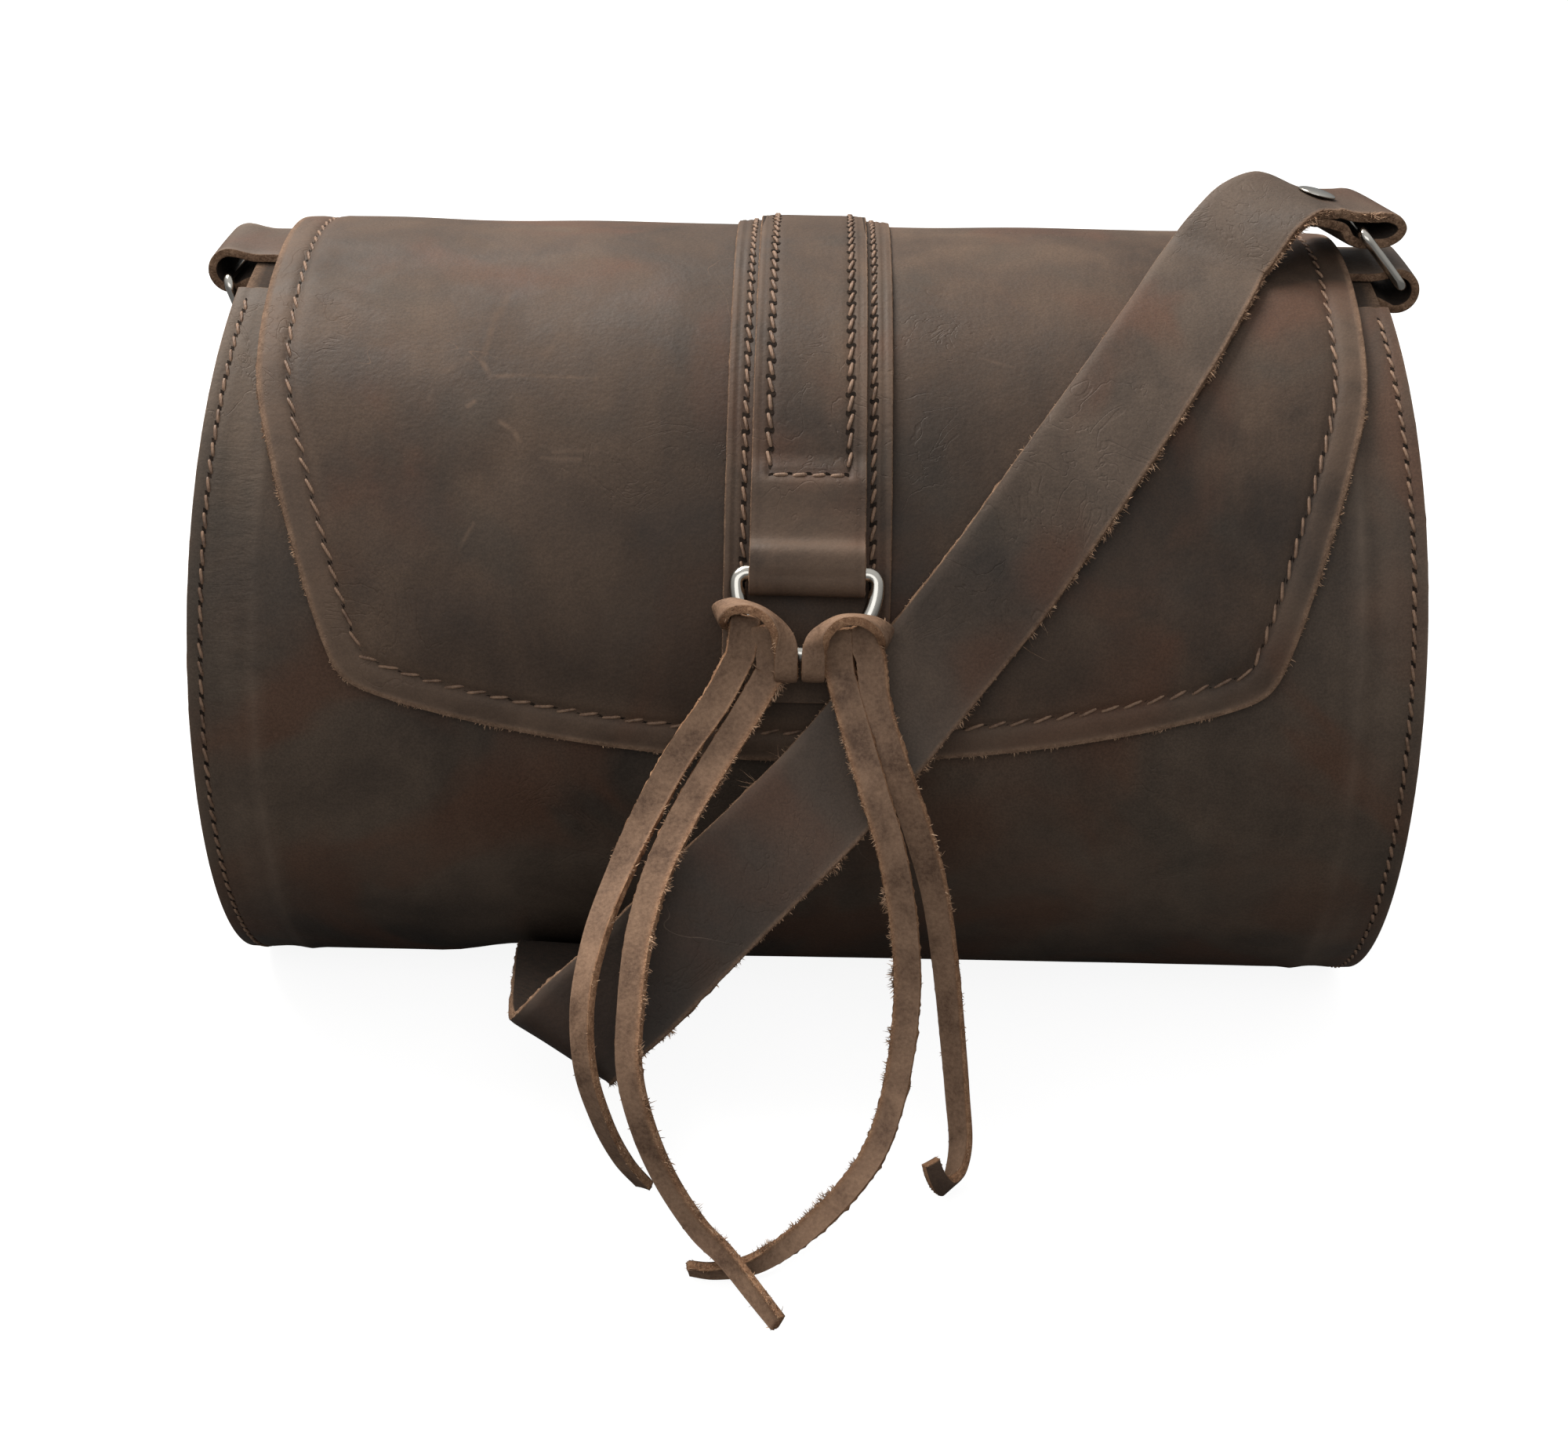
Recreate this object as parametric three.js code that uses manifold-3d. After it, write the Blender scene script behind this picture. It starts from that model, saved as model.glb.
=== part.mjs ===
// A leather crossbody bag: a barrel of leather with a flap, a tab with a D-ring,
// two knotted laces, and one shoulder strap that hangs on a metal ring at each end.
// Millimetres, +Z up. The bag stands on its flattened base with its front towards -Y.
// Angles on the barrel are in degrees about its axis: 0 faces the front, 90 the top.
import * as THREE from "three";
import Module from "manifold-3d";

const wasm = await Module();
wasm.setup();

// Sizes
const CLEAR = 0.3; // between two pieces that lie on each other
const STEP = 5; // degrees between two stations round the barrel

const BAG = {
  width: 275,
  radius: 91,
  wall: 2,
  lip: 72, // front edge of the mouth
  back: 115, // back edge of the mouth
  rimPull: 5, // how far the tabs draw the rims in at the top
  rimPullSpread: 48,
};
const BASE = {
  halfDepth: 20, // of the flat that the bag stands on
  roll: 50, // radius between the flat and the barrel
};
const END = {
  inset: 14.6, // from the rim to the disc
  wall: 2,
  bend: 3,
  edgeStep: 0.8, // of the flange's edge behind the rim
  facets: 58,
};
const FLAP = {
  wall: 2.2,
  inside: 12, // from the rims to the flap's sides
  low: -1, // angle of the lower edge in the middle
  back: 130,
  edgeRise: 0.00148, // of the lower edge, per mm of its distance from the middle, squared
  sideStart: { inside: 30, up: 26 }, // a place on the slanted side, up from the lower edge
  sideSlope: 3.3,
  cornerRound: 9,
};
const BAND = { width: 36.5, wall: 1.5, low: 8 };
const TAB = {
  width: 25,
  wall: 1.6,
  underEnd: 36.5, // angle where the folded-back layer ends
  drop: 1.2, // of the fold's middle below the ring's bar
};
const RING = {
  wire: 3.6,
  halfWidth: 15.2, // to the middle of the wire
  corner: 2.2,
  angle: 25, // of the bar on the barrel
  lean: 3, // outwards
  facets: 10,
};
const LACE = { width: 7, wall: 2.2, knotLength: 14, knotWall: 2.2, knotGap: 0.4 };
const STRAP = { width: 25, wall: 2.4, rivetHole: 2.4 };
const SIDE_RING = {
  wire: 2.5,
  midWire: 2,
  gap: 28.6, // clear width inside
  pitch: 16.5, // between the two outer bars
  corner: 2.6,
  facets: 8,
};
const END_TAB = {
  width: 25,
  wall: 1.9,
  innerEnd: 21.5, // of the upper layer, from the rim
  underEnd: 10.8, // of the lower layer, from the rim
  loopOut: 0.7, // of the loop's middle past the rim
  loopDrop: 4.8, // of the loop's middle below the barrel's top
  loopRadius: 4.35,
  loopSag: 0.2, // share of the flange's curve that is left at the loop
};
const RIVET = { cap: 4.6, backCap: 3.2, capHeight: 1.1, shank: 2, facets: 12, dome: 0.45 };

// Where the strap crosses under the bag, and how the body gives way over it
const CROSSING = { x: -54, halfFlat: 14.5, halfAll: 36, fadeHeight: 14 };

const COLOURS = {
  leather: 0x4a3a30,
  flap: 0x55433a,
  lace: 0x6b4f3e,
  strap: 0x4e3c32,
  nickel: 0xc9c7c2,
};

// Values that follow from the sizes
const rad = THREE.MathUtils.degToRad;
const rollReach = BAG.radius - BASE.roll;
const axisHeight = BASE.roll + Math.sqrt(rollReach ** 2 - BASE.halfDepth ** 2);
const rollStartSine = (axisHeight - BASE.roll) / rollReach;
const halfWidth = BAG.width / 2;
const flangeRadius = BAG.radius - BAG.wall - CLEAR;
const flapInner = BAG.radius + CLEAR;
const flapOuter = flapInner + FLAP.wall;
const bandInner = flapOuter + CLEAR;
const bandOuter = bandInner + BAND.wall;
const tabLow = bandOuter + CLEAR + TAB.wall / 2;
const ringRadius = tabLow + TAB.wall / 2 + CLEAR + RING.wire / 2;
const strapLift = STRAP.wall + CLEAR + 0.1;

// Points

// A point on the barrel, `radius` mm from its axis.
function onBarrel(x, angle, radius) {
  const a = rad(angle);
  return new THREE.Vector3(x, -radius * Math.cos(a), axisHeight + radius * Math.sin(a));
}

// A point on the hull, `depth` mm under the body's outer face. Below the barrel's side
// the hull rolls over to the flat base. The angle runs from -90 in front to 270 behind.
function onHull(x, angle, depth) {
  const a = rad(angle);
  if (-Math.sin(a) < rollStartSine) return onBarrel(x, angle, BAG.radius - depth);
  const middle = angle > 90 ? BASE.halfDepth : -BASE.halfDepth;
  const radius = BASE.roll - depth;
  return new THREE.Vector3(x, middle - radius * Math.cos(a), BASE.roll + radius * Math.sin(a));
}

// Half the bag's width at an angle: the rims are drawn in at the top.
function rimAt(angle) {
  return halfWidth - BAG.rimPull * Math.exp(-(((angle - 90) / BAG.rimPullSpread) ** 2));
}

// How far the body gives way over the strap under it.
function liftAt(x, z) {
  const away = Math.abs(x - CROSSING.x);
  const across = 1 - THREE.MathUtils.smoothstep(away, CROSSING.halfFlat, CROSSING.halfAll);
  const upwards = 1 - THREE.MathUtils.smoothstep(z, CROSSING.fadeHeight / 4, CROSSING.fadeHeight * 2);
  return strapLift * across * upwards;
}

// Even steps from one value to another, both included.
function steps(from, to, size) {
  const count = Math.max(1, Math.ceil(Math.abs(to - from) / size));
  return Array.from({ length: count + 1 }, (_, i) => from + ((to - from) * i) / count);
}

// The smaller of two values, rounded over where they meet.
function softMin(a, b, round) {
  return (a + b - Math.sqrt((a - b) ** 2 + round ** 2)) / 2;
}

// Points on an arc in a plane, both ends included.
function arc(u, v, radius, from, to, count) {
  return steps(from, to, Math.abs(to - from) / count).map((angle) => [
    u + radius * Math.cos(rad(angle)),
    v + radius * Math.sin(rad(angle)),
  ]);
}

// Closed bodies

// A geometry from points and faces, turned so that its faces look outwards.
function bodyOf(points, faces) {
  const volume = faces.reduce((sum, [a, b, c]) => {
    const cross = new THREE.Vector3().crossVectors(points[b], points[c]);
    return sum + points[a].dot(cross);
  }, 0);
  const index = faces.flatMap(([a, b, c]) => (volume > 0 ? [a, b, c] : [a, c, b]));
  const geometry = new THREE.BufferGeometry();
  geometry.setFromPoints(points);
  geometry.setIndex(index);
  geometry.computeVertexNormals();
  return geometry;
}

// A loft through rings of points. Open ends are closed with flat convex caps.
function loft(rings, closed = false) {
  const size = rings[0].length;
  const faces = [];
  const last = closed ? rings.length : rings.length - 1;
  for (let i = 0; i < last; i++) {
    const here = i * size;
    const next = ((i + 1) % rings.length) * size;
    for (let j = 0; j < size; j++) {
      const k = (j + 1) % size;
      faces.push([here + j, here + k, next + k], [here + j, next + k, next + j]);
    }
  }
  if (!closed) {
    const end = (rings.length - 1) * size;
    for (let j = 1; j < size - 1; j++) faces.push([0, j + 1, j], [end, end + j, end + j + 1]);
  }
  return bodyOf(rings.flat(), faces);
}

// A wall between an outer and an inner face, both given as rows of points.
function bentWall(outer, inner) {
  const rings = outer.map((row, i) => [...row, ...inner[i].slice().reverse()]);
  const size = rings[0].length;
  const faces = [];
  for (let i = 0; i < rings.length - 1; i++) {
    for (let j = 0; j < size; j++) {
      const k = (j + 1) % size;
      const here = i * size;
      const next = here + size;
      faces.push([here + j, here + k, next + k], [here + j, next + k, next + j]);
    }
  }
  const end = (rings.length - 1) * size;
  for (let j = 0; j < size / 2 - 1; j++) {
    const back = size - 1 - j;
    faces.push([j, back, back - 1], [j, back - 1, j + 1]);
    faces.push([end + j, end + back - 1, end + back], [end + j, end + j + 1, end + back - 1]);
  }
  return bodyOf(rings.flat(), faces);
}

// The direction of a line of points at one of them.
function directionAt(points, i, closed = false) {
  const count = points.length;
  const before = closed ? points[(i + count - 1) % count] : points[Math.max(0, i - 1)];
  const after = closed ? points[(i + 1) % count] : points[Math.min(count - 1, i + 1)];
  return after.clone().sub(before).normalize();
}

// A flat strip along points, each with the direction across the strip.
function strip(points, sides, width, thickness) {
  const rings = points.map((point, i) => {
    const along = directionAt(points, i);
    const side = sides[i].clone().addScaledVector(along, -sides[i].dot(along)).normalize();
    const out = new THREE.Vector3().crossVectors(side, along);
    const corner = (across, up) =>
      point.clone().addScaledVector(side, (across * width) / 2).addScaledVector(out, (up * thickness) / 2);
    return [corner(-1, 1), corner(1, 1), corner(1, -1), corner(-1, -1)];
  });
  return loft(rings);
}

// A round wire along a flat closed line of points.
function wireLoop(points, planeNormal, radius, facets) {
  const rings = points.map((point, i) => {
    const out = new THREE.Vector3().crossVectors(directionAt(points, i, true), planeNormal);
    return steps(0, 360, 360 / facets).slice(0, facets).map((angle) =>
      point
        .clone()
        .addScaledVector(out, radius * Math.cos(rad(angle)))
        .addScaledVector(planeNormal, radius * Math.sin(rad(angle))),
    );
  });
  return loft(rings, true);
}

// A round bar between two points.
function bar(from, to, radius, facets) {
  const length = from.distanceTo(to);
  const geometry = new THREE.CylinderGeometry(radius, radius, length, facets);
  const along = to.clone().sub(from).normalize();
  const turn = new THREE.Quaternion().setFromUnitVectors(new THREE.Vector3(0, 1, 0), along);
  geometry.applyQuaternion(turn);
  const middle = from.clone().add(to).multiplyScalar(0.5);
  return geometry.translate(middle.x, middle.y, middle.z);
}

// Solids for joining and cutting
function solidOf(geometry) {
  const position = geometry.getAttribute("position");
  const index = geometry.index.array;
  const seen = new Map();
  const points = [];
  const triangles = [];
  for (const corner of index) {
    const at = [position.getX(corner), position.getY(corner), position.getZ(corner)];
    const key = at.map((value) => Math.round(value * 1e4)).join(" ");
    if (!seen.has(key)) {
      seen.set(key, points.length / 3);
      points.push(...at);
    }
    triangles.push(seen.get(key));
  }
  const whole = [];
  for (let i = 0; i < triangles.length; i += 3) {
    const [a, b, c] = triangles.slice(i, i + 3);
    if (a !== b && b !== c && c !== a) whole.push(a, b, c);
  }
  const mesh = new wasm.Mesh({
    numProp: 3,
    vertProperties: new Float32Array(points),
    triVerts: new Uint32Array(whole),
  });
  return new wasm.Manifold(mesh);
}

function geometryOf(solid) {
  const mesh = solid.getMesh();
  const geometry = new THREE.BufferGeometry();
  geometry.setAttribute("position", new THREE.BufferAttribute(mesh.vertProperties, 3));
  geometry.setIndex(new THREE.BufferAttribute(mesh.triVerts, 1));
  geometry.computeVertexNormals();
  return geometry;
}

const joined = (...parts) => geometryOf(wasm.Manifold.union(parts.map(solidOf)));
const without = (part, ...cuts) => geometryOf(cuts.map(solidOf).reduce((solid, cut) => solid.subtract(cut), solidOf(part)));

// The barrel

// One wall from the front lip, under the bag and up the back, which gives way over the strap.
function bodyPanel() {
  const stations = [...steps(BAG.lip, -90, STEP), ...steps(270, BAG.back, STEP)];
  const { x, halfFlat, halfAll } = CROSSING;
  const beside = [x - halfAll, x - (halfFlat + halfAll) / 2, x - halfFlat, x + halfFlat];
  const columns = [-halfWidth, END.inset - halfWidth, ...beside, x + (halfFlat + halfAll) / 2];
  columns.push(x + halfAll, -x, halfWidth - END.inset, halfWidth);
  const row = (angle, depth) =>
    columns.map((across) => {
      const point = onHull((across * rimAt(angle)) / halfWidth, angle, depth);
      point.z += liftAt(across, point.z - depth);
      return point;
    });
  return bentWall(
    stations.map((angle) => row(angle, 0)),
    stations.map((angle) => row(angle, BAG.wall)),
  );
}

// A disc set in from the rim, with a flange turned outwards against the body's inside.
function endPanel(side) {
  const stations = steps(-90, 270, 360 / END.facets);
  const outer = BAG.wall + CLEAR;
  const disc = halfWidth - END.inset;
  const ring = (x, depth) => stations.map((angle) => onHull(side * x(angle), angle, depth));
  const edge = (angle) => rimAt(angle) - END.edgeStep;
  const fixed = (x) => () => x;
  const rings = [
    ring(edge, outer),
    ring(fixed(disc + END.bend - END.wall), outer),
    ring(fixed(disc - END.wall), outer + END.bend),
  ];
  const inside = [
    ring(fixed(disc), outer + END.wall + END.bend),
    ring(fixed(disc + END.bend), outer + END.wall),
    ring(edge, outer + END.wall),
  ];
  return panBody(rings, inside, side * (disc - END.wall), side * disc);
}

// A pan from two stacks of rings, closed by a disc of triangles on each face.
function panBody(rings, inside, backX, frontX) {
  const size = rings[0].length;
  const all = [...rings, ...inside];
  const points = all.flat();
  const faces = [];
  const band = (a, b) => {
    for (let j = 0; j < size; j++) {
      const k = (j + 1) % size;
      faces.push([a * size + j, a * size + k, b * size + k], [a * size + j, b * size + k, b * size + j]);
    }
  };
  band(0, 1);
  band(1, 2);
  band(3, 4);
  band(4, 5);
  band(5, 0);
  for (const [stack, x] of [[2, backX], [3, frontX]]) {
    const middle = points.push(new THREE.Vector3(x, 0, axisHeight)) - 1;
    for (let j = 0; j < size; j++) {
      const [a, b] = [stack * size + j, stack * size + ((j + 1) % size)];
      faces.push(stack === 2 ? [a, b, middle] : [b, a, middle]);
    }
  }
  return bodyOf(points, faces);
}

// The flap and what is sewn on it

// Half the flap's width, `up` mm of arc above the middle of its lower edge.
function flapHalfWidth(up) {
  const lower = Math.sqrt(Math.max(up, 0) / FLAP.edgeRise);
  const slanted = halfWidth - FLAP.sideStart.inside + (up - FLAP.sideStart.up) / FLAP.sideSlope;
  const corner = softMin(lower, slanted, FLAP.cornerRound);
  return softMin(corner, halfWidth - FLAP.inside, FLAP.cornerRound / 3);
}

function flap() {
  const perDegree = rad(1) * flapOuter;
  const fine = [0.35, 1.2, 2.6, 4.6, 7, 9.5, 12, 15, 18.5, 23, 29];
  const angles = fine.map((up) => FLAP.low + up / perDegree);
  angles.push(...steps(angles.at(-1), FLAP.back, STEP).slice(1));
  const row = (angle, radius) => {
    const half = flapHalfWidth((angle - FLAP.low) * perDegree);
    return steps(-half, half, half / 4).map((x) => onBarrel(x, angle, radius));
  };
  return bentWall(
    angles.map((angle) => row(angle, flapOuter)),
    angles.map((angle) => row(angle, flapInner)),
  );
}

// A strip that lies across the middle of the barrel, along points in its cross-section.
function middleStrip(points, width, thickness) {
  const across = points.map(() => new THREE.Vector3(-1, 0, 0));
  return strip(points, across, width, thickness);
}

function flapBand() {
  const middle = (bandInner + bandOuter) / 2;
  const points = steps(BAND.low, FLAP.back, STEP).map((angle) => onBarrel(0, angle, middle));
  return middleStrip(points, BAND.width, BAND.wall);
}

// The tab comes over the top, runs down to the ring, folds round its bar and back under itself.
function flapTab() {
  const upper = tabLow + TAB.wall + CLEAR;
  const perMm = 1 / (rad(1) * ringRadius);
  const fold = RING.wire / 2 + CLEAR + TAB.wall / 2;
  const low = RING.angle - TAB.drop * perMm;
  const overBar = [
    [low + 3.2, ringRadius + fold],
    [RING.angle + 4, upper + 1],
    [RING.angle + 7, upper],
    [TAB.underEnd, upper],
    [TAB.underEnd + 1.4, upper - 0.5],
    [TAB.underEnd + 4, tabLow],
  ];
  const over = steps(FLAP.back, TAB.underEnd + 6, STEP).map((angle) => onBarrel(0, angle, tabLow));
  const down = overBar.reverse().map(([angle, radius]) => onBarrel(0, angle, radius));
  const middle = onBarrel(0, low, ringRadius);
  const outwards = onBarrel(0, low, 1).sub(onBarrel(0, low, 0));
  const downwards = new THREE.Vector3().crossVectors(outwards, new THREE.Vector3(-1, 0, 0));
  const round = arc(0, 0, fold, 90, -90, 10).map(([u, v]) =>
    middle.clone().addScaledVector(downwards, u).addScaledVector(outwards, v),
  );
  const under = steps(low + 2, TAB.underEnd, STEP).map((angle) => onBarrel(0, angle, tabLow));
  return middleStrip([...over, ...down, ...round, ...under], TAB.width, TAB.wall);
}

// The D-ring lies in its own plane: u across the bag, v down from the bar.
const ringPlane = (() => {
  const origin = onBarrel(0, RING.angle, ringRadius);
  const outwards = onBarrel(0, RING.angle + RING.lean, 1).sub(onBarrel(0, RING.angle + RING.lean, 0));
  const across = new THREE.Vector3(1, 0, 0);
  const down = new THREE.Vector3().crossVectors(across, outwards);
  const place = (u, v) => origin.clone().addScaledVector(across, u).addScaledVector(down, v);
  return { across, down, outwards, place };
})();

function flapRing() {
  const { halfWidth: half, corner } = RING;
  const line = [
    ...arc(corner - half, corner, corner, 180, 270, 3),
    ...arc(half - corner, corner, corner, -90, 0, 3),
    ...arc(0, corner, half, 0, 180, 18).slice(1, -1),
  ];
  const points = line.map(([u, v]) => ringPlane.place(u, v));
  return wireLoop(points, ringPlane.outwards, RING.wire / 2, RING.facets);
}

// Laces

// A knot is a sleeve of lace round the ring's bowl; its middle is at an angle on the bowl.
function laceKnot(middleAngle) {
  const { halfWidth: half, corner, wire } = RING;
  const inner = wire / 2 + LACE.knotGap;
  const outer = inner + LACE.knotWall;
  const spread = (LACE.knotLength / 2 / half) * (180 / Math.PI);
  const along = steps(middleAngle - spread, middleAngle + spread, spread / 2);
  const facets = 12;
  const at = (angle, turn, radius) => {
    const reach = half + radius * Math.cos(rad(turn));
    const point = ringPlane.place(reach * Math.cos(rad(angle)), corner + reach * Math.sin(rad(angle)));
    return point.addScaledVector(ringPlane.outwards, radius * Math.sin(rad(turn)));
  };
  const rings = steps(0, 360, 360 / facets).slice(0, facets).map((turn) => [
    ...along.map((angle) => at(angle, turn, outer)),
    ...along.slice().reverse().map((angle) => at(angle, turn, inner)),
  ]);
  return loft(rings, true);
}
const KNOT_ANGLES = { left: 125, right: 55 };

// The laces' chosen routes: x from the middle, forward from the barrel's front, height over the
// floor. `across` is the direction across the lace at its start, at its middle and at its end.
const LACES = {
  lace_left_outer: {
    across: [[-0.8, 0, 0.6], [-1, 0, 0], [-0.65, -0.6, -0.45]],
    route: [
      [-14.6, 8, 112.2], [-20, 14, 104.5], [-28, 21, 94.5], [-34, 28, 84], [-39, 37, 74],
      [-43, 49, 64.5], [-45, 60, 54], [-44, 66, 43], [-41, 65, 30], [-37, 58, 15], [-33, 52, 5],
    ],
  },
  lace_left_inner: {
    across: [[-0.8, 0, 0.6], [-0.95, 0, -0.3], [-0.75, -0.65, 0]],
    route: [
      [-7.6, 9.4, 108.8], [-12.5, 14.5, 101.5], [-19, 21, 92.5], [-26, 31, 83], [-31, 41, 74],
      [-34, 50, 64], [-35, 59, 53.5], [-35, 66, 44], [-32, 70, 32], [-27, 72, 20], [-20, 76, 10.6],
      [-14, 82, 8.1], [-8, 89, 4.4], [-3, 95, 1.7],
    ],
  },
  lace_right_inner: {
    across: [[-0.93, 0, -0.36], [-0.93, 0, 0.35], [0, -0.9, 0.4]],
    route: [
      [7.6, 9.4, 108.8], [10, 15, 100], [13.5, 22.5, 88.6], [18, 27, 76], [21, 30, 62],
      [23, 33, 46], [23, 37, 34], [21, 42, 22], [17, 49, 12.5], [10, 58, 7], [1, 69, 4.4],
      [-9, 78, 3.5], [-17, 79.5, 2.8], [-22, 78.5, 2.6],
    ],
  },
  lace_right_outer: {
    across: [[-0.93, 0, -0.36], [-0.97, 0, -0.1], [-0.93, 0, -0.37]],
    route: [
      [14.6, 8, 112.2], [17.5, 12, 103.5], [22, 18, 92], [27, 21, 79], [31, 24, 65],
      [33, 27, 51], [34.5, 31, 36], [36, 36, 20], [36.3, 41, 9], [35, 45, 4.3], [32.8, 49, 4],
      [30.8, 50.5, 7], [29.3, 50, 11],
    ],
  },
};

function vector([x, y, z]) {
  return new THREE.Vector3(x, y, z);
}

function laceStrand({ route, across }) {
  const keys = route.map(([x, forward, height]) => new THREE.Vector3(x, -BAG.radius - forward, height));
  const curve = new THREE.CatmullRomCurve3(keys, false, "centripetal");
  const sideCurve = new THREE.CatmullRomCurve3(across.map(vector), false, "centripetal");
  const places = steps(0, 1, 1 / (route.length * 2.5));
  const points = places.map((t) => curve.getPoint(t));
  const sides = places.map((t) => sideCurve.getPoint(t));
  return strip(points, sides, LACE.width, LACE.wall);
}

// Ends

// The loop of a tab and the bars of a side ring, in the plane through the barrel's axis.
const loopMiddle = { x: halfWidth + END_TAB.loopOut, z: axisHeight + BAG.radius - END_TAB.loopDrop };
const SIDE_RINGS = {
  left: { side: -1, seat: [0.3, -1.5], direction: [-0.33, -0.944] },
  right: { side: 1, seat: [0.6, 1.4], direction: [-0.638, 0.77] },
};

// A place on a side ring: `along` mm from the bar in the tab towards the strap's bar.
function onSideRing({ side, seat, direction }, along, y = 0) {
  const x = loopMiddle.x + seat[0] + direction[0] * along;
  const z = loopMiddle.z + seat[1] + direction[1] * along;
  return new THREE.Vector3(side * x, y, z);
}

function sideRing(which) {
  const half = SIDE_RING.gap / 2 + SIDE_RING.wire / 2;
  const { pitch, corner, wire, midWire, facets } = SIDE_RING;
  const line = [
    ...arc(corner - half, corner, corner, 180, 270, 3),
    ...arc(half - corner, corner, corner, -90, 0, 3),
    ...arc(half - corner, pitch - corner, corner, 0, 90, 3),
    ...arc(corner - half, pitch - corner, corner, 90, 180, 3),
  ];
  const points = line.map(([y, along]) => onSideRing(which, along, y));
  const normal = new THREE.Vector3()
    .crossVectors(onSideRing(which, 1).sub(onSideRing(which, 0)), new THREE.Vector3(0, 1, 0))
    .normalize();
  const loop = wireLoop(points, normal, wire / 2, facets);
  const mid = bar(onSideRing(which, pitch / 2, -half), onSideRing(which, pitch / 2, half), midWire / 2, facets);
  return joined(loop, mid);
}

// The tab lies on the flange, loops round the ring's bar and comes back under the flange.
function endTab(side) {
  const upper = flangeRadius + CLEAR + 0.1 + END_TAB.wall / 2;
  const lower = flangeRadius - END.wall - CLEAR - END_TAB.wall / 2;
  const edge = rimAt(90);
  const loopHeight = loopMiddle.z - axisHeight;
  const loop = arc(loopMiddle.x, loopHeight, END_TAB.loopRadius, 90, -100, 10);
  const line = [
    ...steps(halfWidth - END_TAB.innerEnd, edge - 1, STEP).map((x) => [x, upper]),
    ...loop,
    [edge + 1.4, lower - 1.3],
    [edge - 0.6, lower - 0.3],
    [edge - 2.6, lower],
    [halfWidth - END_TAB.underEnd, lower],
  ];
  const flat = line.map(([x, z]) => new THREE.Vector3(x, 0, z));
  const sections = flat.map((point, i) => {
    const along = directionAt(flat, i);
    return new THREE.Vector3(-along.z, 0, along.x).multiplyScalar(END_TAB.wall / 2);
  });
  const row = (y, face) =>
    flat.map((point, i) => {
      const { x, z } = point.clone().addScaledVector(sections[i], face);
      const sag = flangeRadius - Math.sqrt(flangeRadius ** 2 - y ** 2);
      const kept = 1 - (1 - END_TAB.loopSag) * THREE.MathUtils.smoothstep(x, edge, loopMiddle.x);
      return new THREE.Vector3(side * x, y, axisHeight + z - sag * kept);
    });
  const across = steps(-END_TAB.width / 2, END_TAB.width / 2, END_TAB.width / 4);
  return bentWall(
    across.map((y) => row(y, 1)),
    across.map((y) => row(y, -1)),
  );
}

// The shoulder strap

// Where the strap's ends lie, from the bar that they are folded round: x outwards, z up. The
// right end is turned forward on its bar.
const RIGHT_TURN = 15;
const STRAP_RIGHT_END = [
  [-17, 3.4], [-13.5, 2.6], [-10.5, 1.8], [-8, 0.9], [-5.9, -1.8], [-2.8, -3], [0, -3.05],
  [3.5, -3], [6.3, -1.7], [7.3, 0], [6.3, 1.8], [3.5, 3.05], [0, 3.15], [-5, 3.5], [-10.5, 4.6],
];
// From the right end to the barrel: x, y, height from the same bar, direction across.
const STRAP_ARCH = [
  [-17.3, -6, 6.6, [-0.47, 0.86, 0.18]],
  [-24, -10.5, 4.2, [-0.62, 0.75, 0.24]],
  [-29.8, -15, -1.2, [-0.75, 0.62, 0.22]],
];
const STRAP_LEFT_END = [
  [1.8, -27], [1.55, -19], [1.55, -9.5], [2.6, -5], [3.1, 0], [2.2, 2.2], [0, 3.1], [-2.2, 2.2],
  [-3.1, 0], [-2.6, -5], [-1.55, -9.5], [-1.55, -19],
];

// The strap's route over the barrel: x, angle, and how far it stands off.
const STRAP_OVER = [
  [93.8, 78.7, 0.9], [89.5, 72.5, 0.7], [80, 60.5, 0.3], [67.5, 47.5, 0.7], [54, 35, 0], [41.5, 24.3, 0],
  [29, 14.6, 0],
];
const strapOnFlap = flapOuter + CLEAR + 0.1 + STRAP.wall / 2;
const strapOnBand = bandOuter + CLEAR + 0.1 + STRAP.wall / 2;
const BAND_REACH = 42; // the strap is lifted over the band below this angle

// The free stretch in front: x, forward from the barrel's front, height, direction across.
const STRAP_FRONT = [
  [7, 15, 85.4, [-0.7, 0.35, 0.49]],
  [-18.4, 34, 65.5, [-0.68, 0.28, 0.68]],
  [-36.7, 46, 50.2, [-0.78, 0.22, 0.58]],
  [-44.5, 52.5, 45.6, [-0.78, 0.15, 0.6]],
  [-48.5, 56, 43, [-0.79, 0.1, 0.61]],
  [-50.2, 51.5, 39.5, [-0.84, 0.05, 0.54]],
  [-52, 22, 35, [-0.97, 0, 0.24]],
];
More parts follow.
